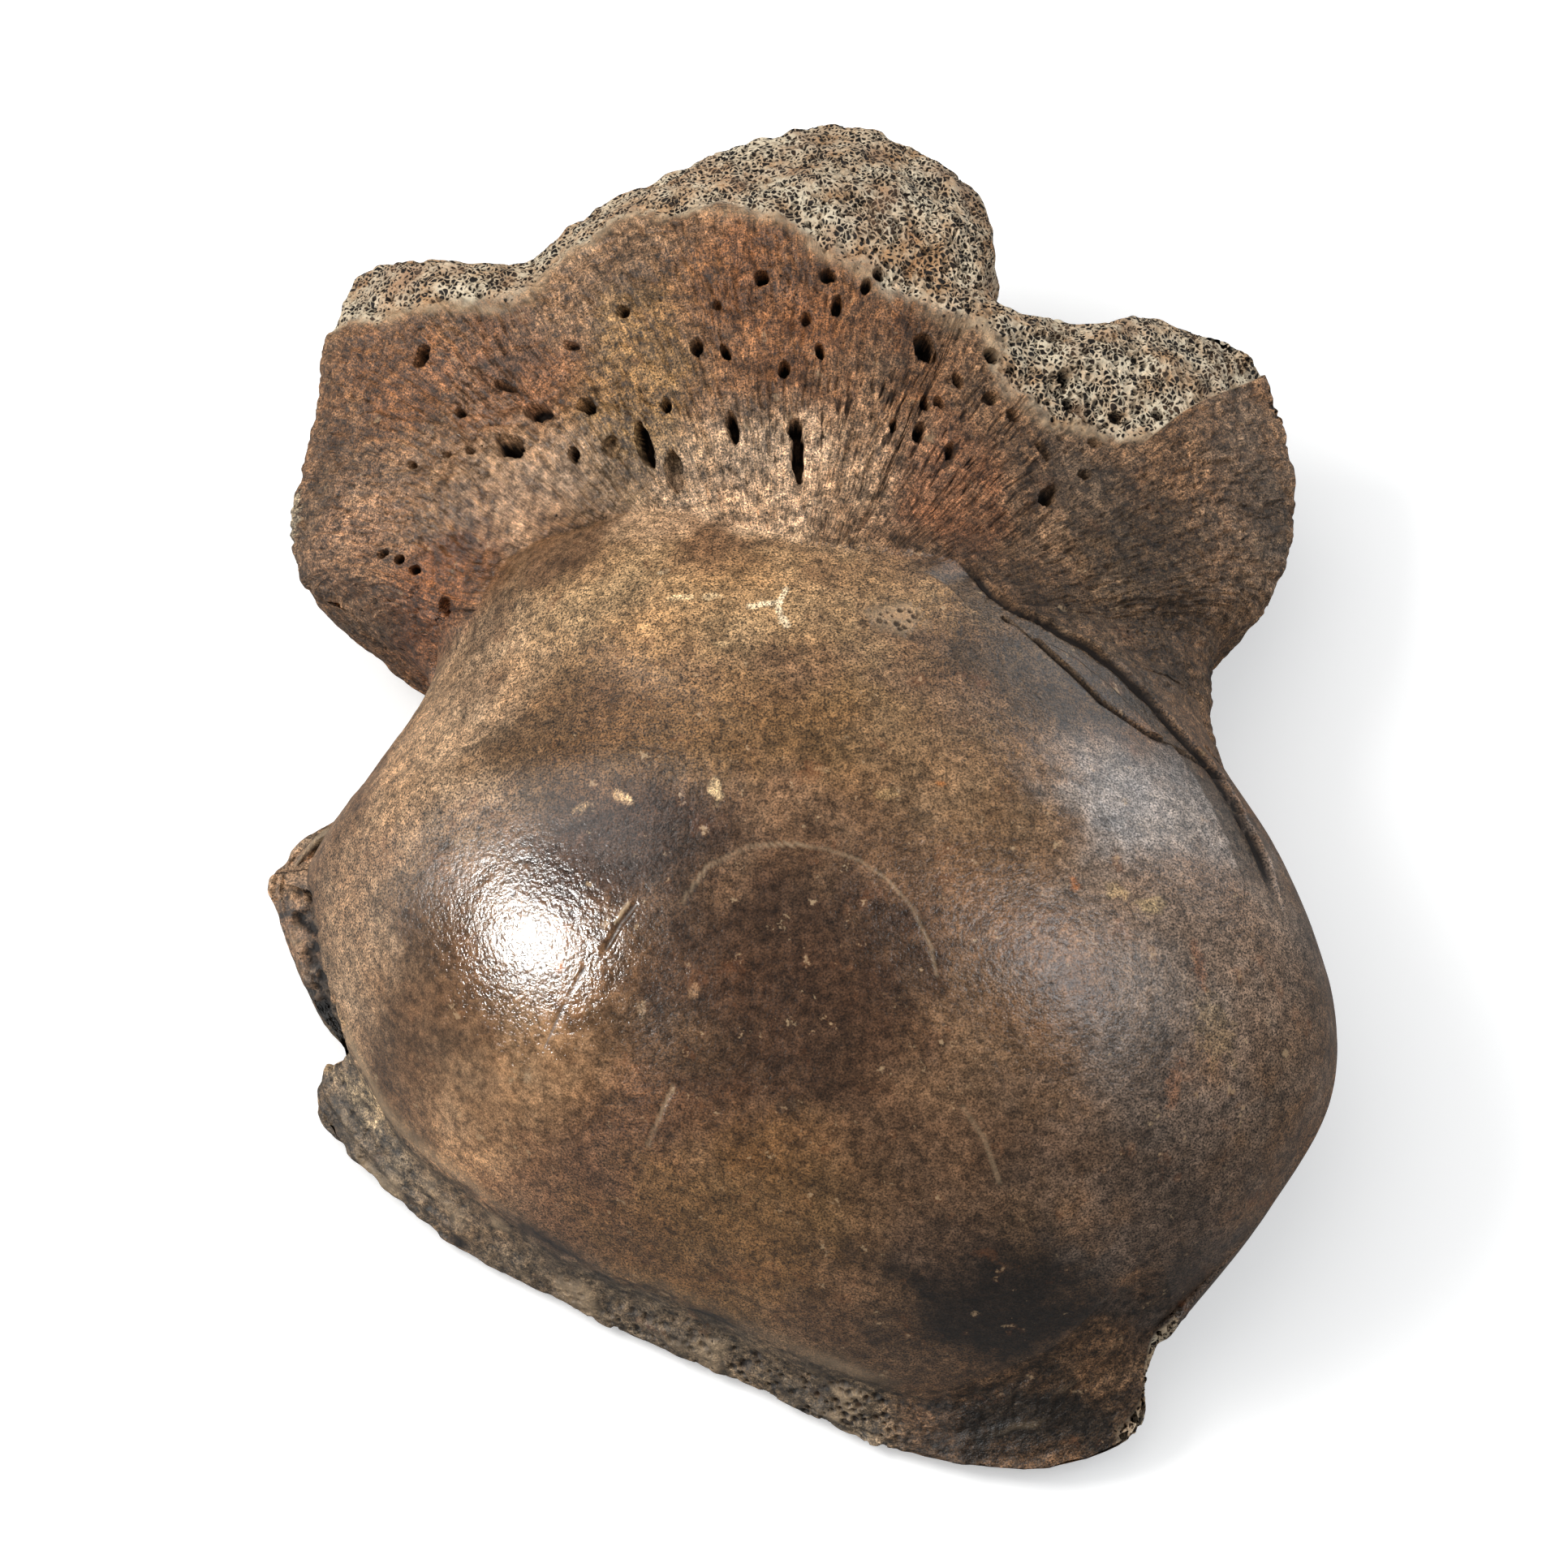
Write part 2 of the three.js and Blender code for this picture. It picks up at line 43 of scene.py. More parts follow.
# Name, roll, crest, wall, flare, pinch, and points of the widest line.
WIDEST_LINE = [
    ("right waist", 14, 0.8, 0, 0, 4, [(95, 15, 46), (97, 32, 45)]),
    ("right lobe", 26, 1, 0, 0, 3,
     [(108, 44, 43), (115, 62, 42), (113, 87, 50), (104, 102, 56), (82, 107, 62), (68, 102, 65)]),
    ("notch", 14, 1, 0, 0, 3, [(58, 102, 67), (47, 104, 70)]),
    ("middle lobe", 32, 1, 0, 0, 6,
     [(47, 121, 72), (39, 137, 72), (21, 149, 74), (4, 150, 75), (-14, 144, 75), (-43, 132, 71),
      (-62, 119, 65)]),
    ("left lobe", 18, 1, 0, 0, 4,
     [(-78, 120, 60), (-97, 123, 56), (-107, 111, 54), (-111, 85, 50), (-115, 62, 47),
      (-112, 49, 44)]),
    ("left lobe corner", 14, 0.8, 0, 0, 12, [(-99, 40, 42)]),
    ("left waist", 14, 0.1, 0, 0, 5, [(-83, 26, 38), (-86, 13, 35), (-100, -1, 29)]),
    ("rim knob", 14, 0, 1, 0, 2,
     [(-115, -11, 26), (-119, -19, 24), (-116, -30, 20), (-108, -48, 15)]),
    ("rim break", 14, 0, 1, 0, 1, [(-102, -56, 13), (-108, -62, 12)]),
    ("rim", 14, 0, 1, 0, 0,
     [(-105, -71, 8), (-85, -92, 5), (-46, -115, 5), (-4, -134, 5), (16, -144, 5)]),
    ("rim foot", 14, 0, 1, 0.5, 1, [(38, -150, 7), (60, -151, 10), (77, -144, 14)]),
    ("broken face of the foot", 14, 0, 0.5, 0.4, 1, [(80, -129, 24)]),
    ("ball side", 14, 0, 0, 0, 0,
     [(85, -125, 34), (105, -102, 45), (119, -78, 49), (120, -55, 50), (111, -27, 49),
      (99, -5, 47)]),
]
JOINT_EDGE = [
    (87, -5), (72, 8), (60, 14), (47, 20), (37, 30), (4, 32), (-14, 38), (-30, 44), (-47, 42),
    (-61, 40), (-69, 31), (-78, 12), (-83, 4), (-91, -2), (-101, -8), (-110, -16), (-111, -26),
    (-108, -36), (-104, -49), (-100, -59), (-90, -77), (-68, -97), (-45, -111), (-26, -119),
    (6, -133), (21, -137), (33, -138), (46, -136), (58, -132), (69, -125), (79, -116), (90, -104),
    (100, -88), (108, -70), (108, -51), (101, -27), (94, -12),
]
BALL_EQUATOR = [
    (105, -102, 45), (119, -78, 49), (120, -55, 50), (111, -27, 49), (99, -5, 47), (83, 26, 46),
    (55, 50, 46), (20, 66, 46), (-20, 70, 46), (-52, 64, 46), (-75, 42, 44), (-83, 22, 38),
    (-98, 0, 27), (-112, -20, 16), (-112, -37, 9), (-107, -53, 4), (-94, -77, 0),
    (-71, -100, 0), (-43, -116, 0), (-15, -128, 0), (11, -137, 2), (41, -139, 9), (68, -132, 21),
    (91, -117, 37),
]
FOOT_LINE = [
    (80, 14), (83, 34), (94, 50), (100, 66), (97, 82), (88, 92), (70, 92), (51, 94), (39, 114),
    (24, 131), (3, 136), (-20, 128), (-46, 116), (-68, 107), (-88, 108), (-97, 92), (-100, 70),
    (-95, 52), (-80, 36), (-73, 22), (-77, 6), (-92, -7), (-110, -18), (-110, -32), (-104, -46),
    (-98, -57), (-102, -64), (-100, -73), (-83, -90), (-45, -113), (-4, -132), (17, -142),
    (38, -146), (59, -146), (72, -138), (73, -124), (74, -110), (84, -90), (92, -68), (92, -46),
    (86, -24), (79, -4),
]
CREST_TOP = {"x": -2, "y": 104, "height": 99, "side_fall": 30, "side_reach": 92,
             "back_fall": 12, "back_reach": 40}
NECK = {"width": 26, "dip": 3}
# Broad swellings of the crest: x, y, half widths in x and y, height.
SWELLINGS = [
    (-60, 88, 14, 24, -7), (-92, 106, 18, 12, 4), (10, 118, 34, 14, 4), (66, 66, 20, 18, -5),
    (92, 84, 14, 20, 4), (-6, 127, 6, 6, -5),
]
BORDER_HEIGHT = 3
PAD = {"inset": 4, "width": 9, "count": 6, "gap": 2.4}
UNDER_HOLLOW = 10
BILLOW = {"height": 0.3, "x": 15, "y": 19}
BUTTRESS = {"height": 1.6, "count": 19}
SIDE_TURN = 1.1
WALL_HOLLOW = 1.2
CREVICE = {"middle": (-111, -21.5), "width": 2.6, "length": 17, "turn": 7.6, "depth": 8}
BROAD_LUMPS = {"size": 23, "height": 0.8, "seed": 31}
SMALL_LUMPS = {"size": 9, "height": 0.6, "seed": 32}
RIM_LUMPS = 0.5
SPONGE_SINK = 1
SPONGE_ROUGHNESS = 0.8
LIP = {"from": 44, "to": -22, "fade": 7, "sink": 1.4, "raise": 0.7, "width": 9}
BEAD = {"out": -0.6, "width": 0.9, "height": 0.45}
GROOVE = {"out": 2.6, "width": 1.3, "depth": 1.3}

# Where the spongy inside of the bone lies open: outside this line, seen from the hub.
SPONGE_BORDER = [
    (104, 92), (94, 82), (86, 74), (76, 72), (60, 72), (48, 76), (45, 86), (43, 91), (32, 93),
    (22, 96), (13, 102), (4, 107), (-3, 114), (-27, 118), (-40, 119), (-51, 113), (-61, 105),
    (-70, 102), (-84, 103), (-98, 105), (-110, 108),
]
# Vessel holes of the crest: x, y, half width, half length, turn from the y axis, depth.
VESSEL_HOLES = [
    (-7, 98.5, 1.6, 1.6, 0, 7), (8, 99, 1.7, 1.3, 0, 6), (10, 92, 1.2, 2.2, -10, 6),
    (16.5, 97, 1.1, 1.8, -20, 5), (19.5, 100, 1.4, 1.4, 0, 5), (30, 83, 2.3, 3.6, 25, 9),
    (44.5, 83, 1.7, 1.7, 0, 8), (49.5, 81, 1, 1, 0, 4), (-38, 92.5, 1.3, 1.5, -15, 5),
    (-21.5, 82, 1.3, 2, 0, 6), (-15, 80.5, 1, 1.9, 20, 6), (6, 80.5, 1, 1.9, 10, 6),
    (-2, 76, 1.3, 2, -10, 6), (3, 89, 1.1, 1.5, 0, 4), (-28, 68, 1.1, 1.9, 10, 5),
    (-46, 70.5, 1.6, 2.6, 35, 7), (-57, 72.5, 2.2, 3.4, 45, 5), (-63.5, 64.5, 2.4, 3.6, 40, 9),
    (-65, 81.5, 1.3, 2.9, 60, 5), (-50, 87.5, 0.9, 1.9, 50, 4), (-84, 90.5, 1.3, 2.7, -25, 5),
    (-75, 75, 1, 1.3, 45, 5), (-49, 60, 1.1, 1.5, 10, 5), (-40.5, 60.5, 1.7, 2.2, 20, 2.5),
    (-33, 60, 1.5, 4.8, 18, 7), (-26.5, 53.5, 1.8, 4.6, 5, 3.5), (-13.5, 62, 1.3, 4, 8, 7),
    (1, 55.5, 1.3, 6.2, 3, 8), (0.5, 61, 1.6, 2.4, 0, 8), (22.5, 63.5, 0.9, 1.6, -10, 5),
    (28, 62, 1.2, 2.6, -15, 6), (35, 58.5, 0.9, 1.7, -5, 5), (29.5, 69.5, 1, 1.6, 0, 5),
    (32.5, 70, 1, 1.3, 0, 4), (44.5, 73, 1.7, 1.5, 0, 5), (-86.5, 64.5, 0.9, 0.9, 0, 4),
    (-78, 65, 0.9, 0.8, 0, 4), (-72.5, 64.5, 1, 0.8, 0, 4), (49.5, 70, 1.1, 1.6, 20, 4),
    (63, 76, 1.2, 1.5, 0, 6), (73.5, 75, 1.6, 1.2, 0, 5), (65.5, 59.5, 1.2, 1.3, 0, 7),
    (57, 51.5, 1.5, 3.2, -25, 6), (60, 92, 1.6, 1.5, 0, 5), (83.5, 77, 1.5, 1.2, 0, 4),
    (-92.5, 44, 1.3, 0.9, 0, 5), (-88.5, 42, 1.2, 0.9, 0, 5), (-85, 39.5, 1.3, 1, 0, 5),
    (-78, 31, 1.3, 1.7, 0, 3), (62, 82, 1.2, 1.8, 30, 5), (68, 68, 1.4, 1, 0, 3),
    (56, 63, 1.1, 2.1, 40, 3), (-17, 92, 0.8, 1.2, 0, 3), (37, 76, 0.9, 1.8, 10, 4),
]
# The crack in the sunken strip beside the crest's lip, and the gap behind a flake at its end.
STRIP_CRACK = [(47, 16), (50.8, 12), (55.5, 7.4), (61, 2.8), (67.3, -2.9), (71.3, -5.1),
               (78.8, -8.6), (86.4, -8.3), (92.2, -9.8), (98, -15)]
FLAKE_GAP = [(92, -4), (98, -9), (102, -14.5), (106, -21), (109, -29)]
PORE_STRIP = [(-111.5, -27), (-109, -37), (-105.5, -51), (-103, -58)]   # porous seam at the left
# Marks of the ball: thin lines, each with its width, depth and how pale it is.
SCRATCHES = [
    ([(-24, -55.5), (-18.5, -48.5), (-9.5, -44.7), (-1.5, -44.4), (6, -45.3), (14, -48),
      (20, -52), (25.5, -58), (29, -65), (30.5, -71.5)], 0.35, 0.05, 0.4),
    ([(-34, -55), (-37, -58), (-40.5, -63)], 0.6, 0.4, -0.5),
    ([(-35.2, -54.2), (-38, -57.4)], 0.4, -0.1, 0.8),
    ([(-26, -89), (-28, -92), (-31.5, -97.5)], 0.4, 0.22, 0.7),
    ([(-54, -78), (-49, -71), (-44.5, -65)], 0.3, 0.15, -0.6),
    ([(42, -85), (45.5, -93)], 0.3, 0.15, -0.5),
    ([(36, -96), (41, -102), (44, -109)], 0.5, 0.1, 0.35),
    ([(86, -60), (88, -66), (85, -70)], 0.5, 0.1, -0.4),
]
# Layers of noise on the skin: strength, size in millimetres and seed of each.
SPONGE_EDGE = ((3, 9, 3), (1.8, 3.5, 4), (1, 1.6, 8))
VESSEL_EDGE = ((0.2, 1.6, 21), (0.1, 0.9, 22))
RIPPLE = ((0.28, 31, 34), (0.1, 11, 35), (0.035, 3.2, 36))
FLAKES = ((0.34, 4, 33), (0.26, 1.9, 37))
SCALLOPS = ((1.6, 6, 67), (1.3, 3, 68))
STAIN_EDGE = ((0.42, 17, 71), (0.28, 6, 72), (0.16, 2.4, 73))
MARK_EDGE = ((0.45, 1.7, 74), (0.35, 0.8, 75))
BROAD_MOTTLE = ((0.16, 11, 76), (0.15, 5, 77))
FINE_MOTTLE = ((0.26, 2.3, 78), (0.26, 1.1, 79))
MOTTLE_OF_CHANNELS = (0.92, 1.0, 1.12)   # how far the mottle moves red, green and blue
# Soft spots of the skin: x, y, half width, half length, and turn from the y axis.
FOOT_FACE = (80, -134, 7, 12, 0)
GROOVED_CREST = (28, 58, 26, 18, 0)
SMOOTH_NECK = (-4, 46, 40, 10, 0)
ROUGH_PATCH = (22.9, 10.6, 5.5, 4, 0)
BALL_GLOSS = (-60, -66, 32, 28, 0)
FRONT_GLOSS = (20, -70, 60, 50, 0)
CORNER_GLOSS = (-62, 52, 26, 20, -25)
# Round pits: size of the cubes they are strewn in, in millimetres, radius in cubes, seed,
# depth in millimetres and how dark they are painted, as painted shade.
PITS = {
    "wide": (3.1, 0.42, 60, 0.9, 0.85),
    "tight": (1.7, 0.5, 57, 0.45, 0.5),
    "dimple": (2.1, 0.62, 61, 0.9, 0.75),
    "speckle": (1.5, 0.75, 70, 0.5, 0.7),
    "growth": (4.2, 0.6, 66, 1.2, 0.7),
    "seam pore": (1.9, 0.8, 55, 0.8, 0.9),
}
CELL_SIZE = 1.95        # the cubes that hold one spongy cell each
LEAST_SHARE = 0.02      # where less of the skin than this has cells or pits, none are made
# Depths of the other fine relief, in millimetres.
DEPTH = {"cell": 1.3, "slit": 0.8, "crack": 2.4, "gap": 2.4, "seam": 1.6, "lip line": 0.6}


def smooth(share):
    """The smoothstep of a share that is first kept between 0 and 1."""
    kept = np.clip(share, 0, 1)
    return kept * kept * (3 - 2 * kept)


def bell(share):
    """A bell curve: 1 in its middle, 0.37 at 1."""
    return np.exp(-share * share)


def mix(one, other, share):
    """A straight blend from one to other."""
    return one + (other - one) * share


def closed_curve(points):
    """A function of 0 to 1 along a smooth closed line: centripetal Catmull-Rom, where each
    stretch is a cubic whose end slopes come from its neighbours, weighted by the square
    root of the distances."""
    corners = np.array([list(point) + [0] * (3 - len(point)) for point in points], float)
    count = len(corners)

    def place(along):
        scaled = np.mod(along, 1) * count
        first = np.floor(scaled).astype(int)
        part = (scaled - first)[..., None]
        before, start, end, after = (corners[(first + step) % count] for step in (-1, 0, 1, 2))
        lead, middle, trail = (
            np.sum((late - early) ** 2, -1, keepdims=True) ** 0.25
            for early, late in ((before, start), (start, end), (end, after)))
        middle = np.where(middle < 1e-4, 1, middle)
        lead = np.where(lead < 1e-4, middle, lead)
        trail = np.where(trail < 1e-4, middle, trail)
        leave = middle * (
            (start - before) / lead - (end - before) / (lead + middle) + (end - start) / middle)
        arrive = middle * (
            (end - start) / middle - (after - start) / (middle + trail) + (after - end) / trail)
        bend = 3 * (end - start) - 2 * leave - arrive
        twist = 2 * (start - end) + leave + arrive
        return start + part * (leave + part * (bend + part * twist))

    return place


def line_round(points, middle):
    """A function of an angle: how far a closed line lies from the middle in that direction,
    and its height there."""
    count = len(points) * 24
    seen = closed_curve(points)(np.arange(count) / count)
    away = seen[:, :2] - middle
    angle = np.mod(np.arctan2(away[:, 1], away[:, 0]), TURN)
    order = np.argsort(angle)
    reach = np.hypot(away[:, 0], away[:, 1])[order]
    height = seen[order, 2]
    angle = angle[order]

    def look(wanted):
        return (np.interp(wanted, angle, reach, period=TURN),
                np.interp(wanted, angle, height, period=TURN))

    return look


LINE_POINTS = [point for part in WIDEST_LINE for point in part[6]]
line = closed_curve(LINE_POINTS)
line_shares = closed_curve([part[2:5] for part in WIDEST_LINE for _ in part[6]])
line_sizes = closed_curve([(part[1], part[5]) for part in WIDEST_LINE for _ in part[6]])
LINE_STEPS = np.linspace(0, 1, len(LINE_POINTS) * 20 + 1)
LINE_RUN = np.concatenate(
    [[0], np.cumsum(np.linalg.norm(np.diff(line(LINE_STEPS), axis=0), axis=1))])
LINE_LENGTH = LINE_RUN[-1]
equator_round = line_round(BALL_EQUATOR, BALL_TOP[:2])
joint_round = line_round(JOINT_EDGE, HUB)
foot_round = line_round(FOOT_LINE, HUB)


def start_of(name):
    """Share of the way round the widest line where its named part begins."""
    names = [part[0] for part in WIDEST_LINE for _ in part[6]]
    return np.interp(names.index(name) / len(names), LINE_STEPS, LINE_RUN) / LINE_LENGTH


def ball_height(x, y):
    """A quarter of an ellipse in every upright section through the ball's top."""
    away_x = x - BALL_TOP[0]
    away_y = y - BALL_TOP[1]
    reach, height = equator_round(np.arctan2(away_y, away_x))
    share = np.minimum(np.hypot(away_x, away_y) / reach, 1)
    return height + (BALL_TOP[2] - height) * np.sqrt(1 - share * share)


def swelling_at(x, y):
    """The sum of the crest's broad swellings, each a bell of its height."""
    return sum(
        height * np.exp(-((x - at_x) / reach_x) ** 2 - ((y - at_y) / reach_y) ** 2)
        for at_x, at_y, reach_x, reach_y, height in SWELLINGS)


def crest_face(x, y):
    """The crest's upper face falls with the square of the way to its sides and its back."""
    side = (x - CREST_TOP["x"]) / CREST_TOP["side_reach"]
    back = np.maximum(y - CREST_TOP["y"], 0) / CREST_TOP["back_reach"]
    return CREST_TOP["height"] - CREST_TOP["side_fall"] * side**2 - CREST_TOP["back_fall"] * back**2


def crest_height(spoke, s, x, y):
    """The crest's face leaves the ball at the joint's edge, dips at the neck, and rolls over
    to the widest line as a quarter of an ellipse."""
    out = np.minimum(s * spoke["width"] / NECK["width"], 1)
    joint = spoke["joint"]
    step = (joint[:, 2] - crest_face(joint[:, 0], joint[:, 1])) * (1 - smooth(out))
    face = crest_face(x, y) + step - NECK["dip"] * np.sin(np.pi * out)
    over = np.maximum(s - 1 + spoke["roll"] / spoke["width"], 0) * spoke["width"] / spoke["roll"]
    edge = spoke["edge"][:, 2]
    return edge + (face - edge) * np.sqrt(np.maximum(1 - over * over, 0))


def spokes_at(u):
    """What every row needs in each direction from the hub, for shares u of the way round."""
    along = np.interp(np.mod(u, 1), LINE_RUN / LINE_LENGTH, LINE_STEPS)
    edge = line(along)
    share = line_shares(along)
    size = line_sizes(along)
    away = edge[:, :2] - HUB
    angle = np.arctan2(away[:, 1], away[:, 0])
    outward = np.stack([np.cos(angle), np.sin(angle)], -1)
    joint = HUB + outward * joint_round(angle)[0][:, None]
    foot = HUB + outward * foot_round(angle)[0][:, None]
    return {
        "edge": edge, "angle": angle, "outward": outward, "foot": foot,
        "joint": np.column_stack([joint, ball_height(joint[:, 0], joint[:, 1])]),
        "width": np.linalg.norm(edge[:, :2] - joint, axis=1),
        "roll": size[:, 0], "pinch": size[:, 1],
        "crest": np.clip(share[:, 0], 0, 1), "wall": np.clip(share[:, 1], 0, 1),
        "flare": np.clip(share[:, 2], 0, 1),
    }


def ball_rows(spoke, share):
    """From the hub to the joint's edge, at the ball's height."""
    x = mix(HUB[0], spoke["joint"][:, 0], share)
    y = mix(HUB[1], spoke["joint"][:, 1], share)
    return np.stack([x, y, ball_height(x, y)], -1)


def strip_rows(spoke, t):
    """From the joint's edge to the widest line, as a blend of ball, crest and upright wall."""
    s = 1 - (1 - t) ** 1.7
    sunk = WALL_HOLLOW * spoke["wall"] * np.sin(np.pi * s)
    x = mix(spoke["joint"][:, 0], spoke["edge"][:, 0], s) - spoke["outward"][:, 0] * sunk
    y = mix(spoke["joint"][:, 1], spoke["edge"][:, 1], s) - spoke["outward"][:, 1] * sunk
    ball = np.maximum(1 - spoke["crest"] - spoke["wall"], 0)
    fallen = mix(s, 1 - (1 - s) ** 2, spoke["flare"])
    as_wall = mix(spoke["joint"][:, 2], spoke["edge"][:, 2], fallen)
    as_ball = mix(ball_height(x, y), as_wall, s**6)
    as_crest = crest_height(spoke, s, x, y)
    height = as_ball * ball + as_crest * spoke["crest"] + as_wall * spoke["wall"]
    swelling = swelling_at(x, y) * spoke["crest"] * np.sin(np.pi * s) ** 0.7
    return np.stack([x, y, height / (ball + spoke["crest"] + spoke["wall"]) + swelling], -1)


def side_rows(spoke, down):
    """From the widest line down, curving in under the bone to the underside's border."""
    turned = down * SIDE_TURN
    inset = (1 - np.cos(turned)) / (1 - math.cos(SIDE_TURN))
    swell = BUTTRESS["height"] * spoke["crest"] * np.sin(BUTTRESS["count"] * spoke["angle"])
    outset = (swell - spoke["pinch"]) * np.sin(np.pi * down)
    edge, foot, outward = spoke["edge"], spoke["foot"], spoke["outward"]
    return np.stack([
        mix(edge[:, 0], foot[:, 0], inset) + outward[:, 0] * outset,
        mix(edge[:, 1], foot[:, 1], inset) + outward[:, 1] * outset,
        mix(edge[:, 2], BORDER_HEIGHT, np.sin(turned) / math.sin(SIDE_TURN)),
    ], -1)


def under_rows(spoke, share):
    """The underside: down to a ring of flat pads at floor level, then a billowed hollow."""
    foot = spoke["foot"]
    reach = np.linalg.norm(foot - HUB, axis=1)
    x = mix(foot[:, 0], HUB[0], share)
    y = mix(foot[:, 1], HUB[1], share)
    depth = share * reach
    lift = PAD["gap"] * np.maximum(np.sin(PAD["count"] * spoke["angle"]) - 0.25, 0)
    pad_end = (PAD["inset"] + PAD["width"]) / reach
    inside = 1 - (1 - np.clip((share - pad_end) / (1 - pad_end), 0, 1)) ** 2
    swell = 1 + BILLOW["height"] * np.sin(x / BILLOW["x"]) * np.sin(y / BILLOW["y"])
    bevel = BORDER_HEIGHT * np.clip(1 - depth / PAD["inset"], 0, 1)
    low = lift * np.clip(depth / PAD["inset"], 0, 1) * (1 - inside)
    return np.stack([x, y, bevel + low + UNDER_HOLLOW * inside * swell], -1)


def skin(u, t):
    """The bare surface: rows 0 to 1 are the ball, 1 to 2 the strip, 2 to 3 the side and 3 to
    4 the underside."""
    spoke = spokes_at(u)
    place = np.empty((len(t), len(u), 3))
    for first, form in enumerate((ball_rows, strip_rows, side_rows, under_rows)):
        rows = np.clip(np.floor(t), 0, 3) == first
        if rows.any():
            place[rows] = form(spoke, (t[rows] - first)[:, None])
    return place, spoke


def normals_of(place):
    """Outward unit normals of a grid of places, from its row and column slopes."""
    across = np.gradient(place, axis=1)
    along = np.gradient(place, axis=0)
    normal = np.cross(along, across)
    return normal / np.maximum(np.linalg.norm(normal, axis=-1, keepdims=True), 1e-9)


def hashed(cube, seed):
    """Even random numbers from 0 to 1, one for each whole-number cube."""
    value = (cube[..., 0] * np.uint32(73856093) ^ cube[..., 1] * np.uint32(19349663)
             ^ cube[..., 2] * np.uint32(83492791) ^ np.uint32(seed * 374761 % 2**32))
    value = (value ^ value >> np.uint32(15)) * np.uint32(739982445)
    value = (value ^ value >> np.uint32(12)) * np.uint32(695872825)
    return (value >> np.uint32(8)).astype(np.float32) / np.float32(2**24)


def cloud(places, size, seed):
    """Smooth noise from -1 to 1: random values at the corners of cubes of that size in
    millimetres, blended between them with smoothstep weights."""
    scaled = (places / size).astype(np.float32)
    low = np.floor(scaled)
    part = scaled - low
    part = part * part * (3 - 2 * part)
    cube = low.astype(np.int32).astype(np.uint32)
    total = 0
    for corner in product((0, 1), repeat=3):
        near = np.where(np.array(corner, bool), part, 1 - part)
        weight = near[..., 0] * near[..., 1] * near[..., 2]
        total = total + weight * hashed(cube + np.array(corner, np.uint32), seed)
    return 2 * total - 1


def clouds(places, layers):
    """The sum of layers of noise, each with its strength, size and seed."""
    return sum(strength * cloud(places, size, seed) for strength, size, seed in layers)


def cells(places, size, seed):
    """Distances to the nearest and second nearest of seeds scattered one to a cube, in
    cubes, and a random number of the nearest seed."""
    scaled = (places / size).astype(np.float32)
    low = np.floor(scaled)
    nearest = np.full(scaled.shape[:-1], 9, np.float32)
    second = nearest.copy()
    own = np.zeros_like(nearest)
    for step in product((-1, 0, 1), repeat=3):
        corner = low + np.array(step, np.float32)
        cube = corner.astype(np.int32).astype(np.uint32)
        away = np.sqrt(sum(
            (corner[..., axis] + hashed(cube, seed + axis) - scaled[..., axis]) ** 2
            for axis in range(3)))
        second = np.minimum(second, np.maximum(nearest, away))
        own = np.where(away < nearest, hashed(cube, seed + 3), own)
        nearest = np.minimum(nearest, away)
    return nearest, second, own


def line_distance(places, points):
    """Distance in plan to an open line of straight stretches."""
    best = np.full(places.shape[:-1], 1e3)
    for start, end in zip(points[:-1], points[1:]):
        run = np.subtract(end, start)
        away = places[..., :2] - np.array(start, float)
        share = np.clip(away @ run / (run @ run), 0, 1)
        best = np.minimum(best, np.linalg.norm(away - share[..., None] * run, axis=-1))
    return best


def dent(places, x, y, half_width, half_length, turn):
    """Distance from a round or long dent's middle in plan, 1 at its border."""
    angle = math.radians(turn)
    away_x = places[..., 0] - x
    away_y = places[..., 1] - y
    across = (away_x * math.cos(angle) + away_y * math.sin(angle)) / half_width
    along = (away_y * math.cos(angle) - away_x * math.sin(angle)) / half_length
    return np.hypot(across, along)


def spot(places, where, reach=1.5, uneven=0):
    """A soft spot in plan: 1 in its middle and 0 outside its border, which may be uneven."""
    return smooth(reach - dent(places, *where) + uneven)


def site_of(u, t):
    """The bare surface of a patch with what its relief and colours depend on. past is the
    way out from the joint's edge, in millimetres, and run the way round the widest line."""
    place, spoke = skin(u, t)
    rows = np.broadcast_to(t[:, None], place.shape[:2])
    joint_reach = np.linalg.norm(spoke["joint"][:, :2] - HUB, axis=1)
    out = (1 - (1 - np.clip(rows - 1, 0, 1)) ** 1.7) * spoke["width"]
    down = np.clip(rows - 2, 0, 1) * spoke["edge"][:, 2]
    under = np.clip(rows - 3, 0, 1) * joint_reach
    return {
        "place": place, "normal": normals_of(place), "rows": rows,
        "past": np.minimum(rows - 1, 0) * joint_reach + out + down + under,
        "run": np.broadcast_to(u * LINE_LENGTH, rows.shape),
        "angle": np.broadcast_to(spoke["angle"], rows.shape),
        "crest": np.broadcast_to(spoke["crest"], rows.shape),
        "wall": np.broadcast_to(spoke["wall"], rows.shape),
        "flare": np.broadcast_to(spoke["flare"], rows.shape),
        "foot": smooth(np.broadcast_to(spoke["flare"], rows.shape) / 0.35),
        "narrow": smooth((9 - np.broadcast_to(spoke["width"], rows.shape)) / 6),
    }


def along_grain(site, across_size, along_size, seed):
    """Noise stretched along the fibres, which run out from the joint, and bent a little."""
    place = site["place"]
    across = site["run"] + 3 * cloud(place, 14, seed + 40) + cloud(place, 4, seed + 42)
    along = site["past"] + 2.5 * cloud(place, 7, seed + 41)
    bent = [across / across_size, along / along_size, np.zeros_like(across)]
    return cloud(np.stack(bent, -1), 1, seed)


def outside_share(site):
    """How much a place is crest or rim wall: 0 on the ball, and all along its free side."""
    return smooth(site["past"] / 5 + 0.6) * np.maximum(site["crest"], site["wall"])


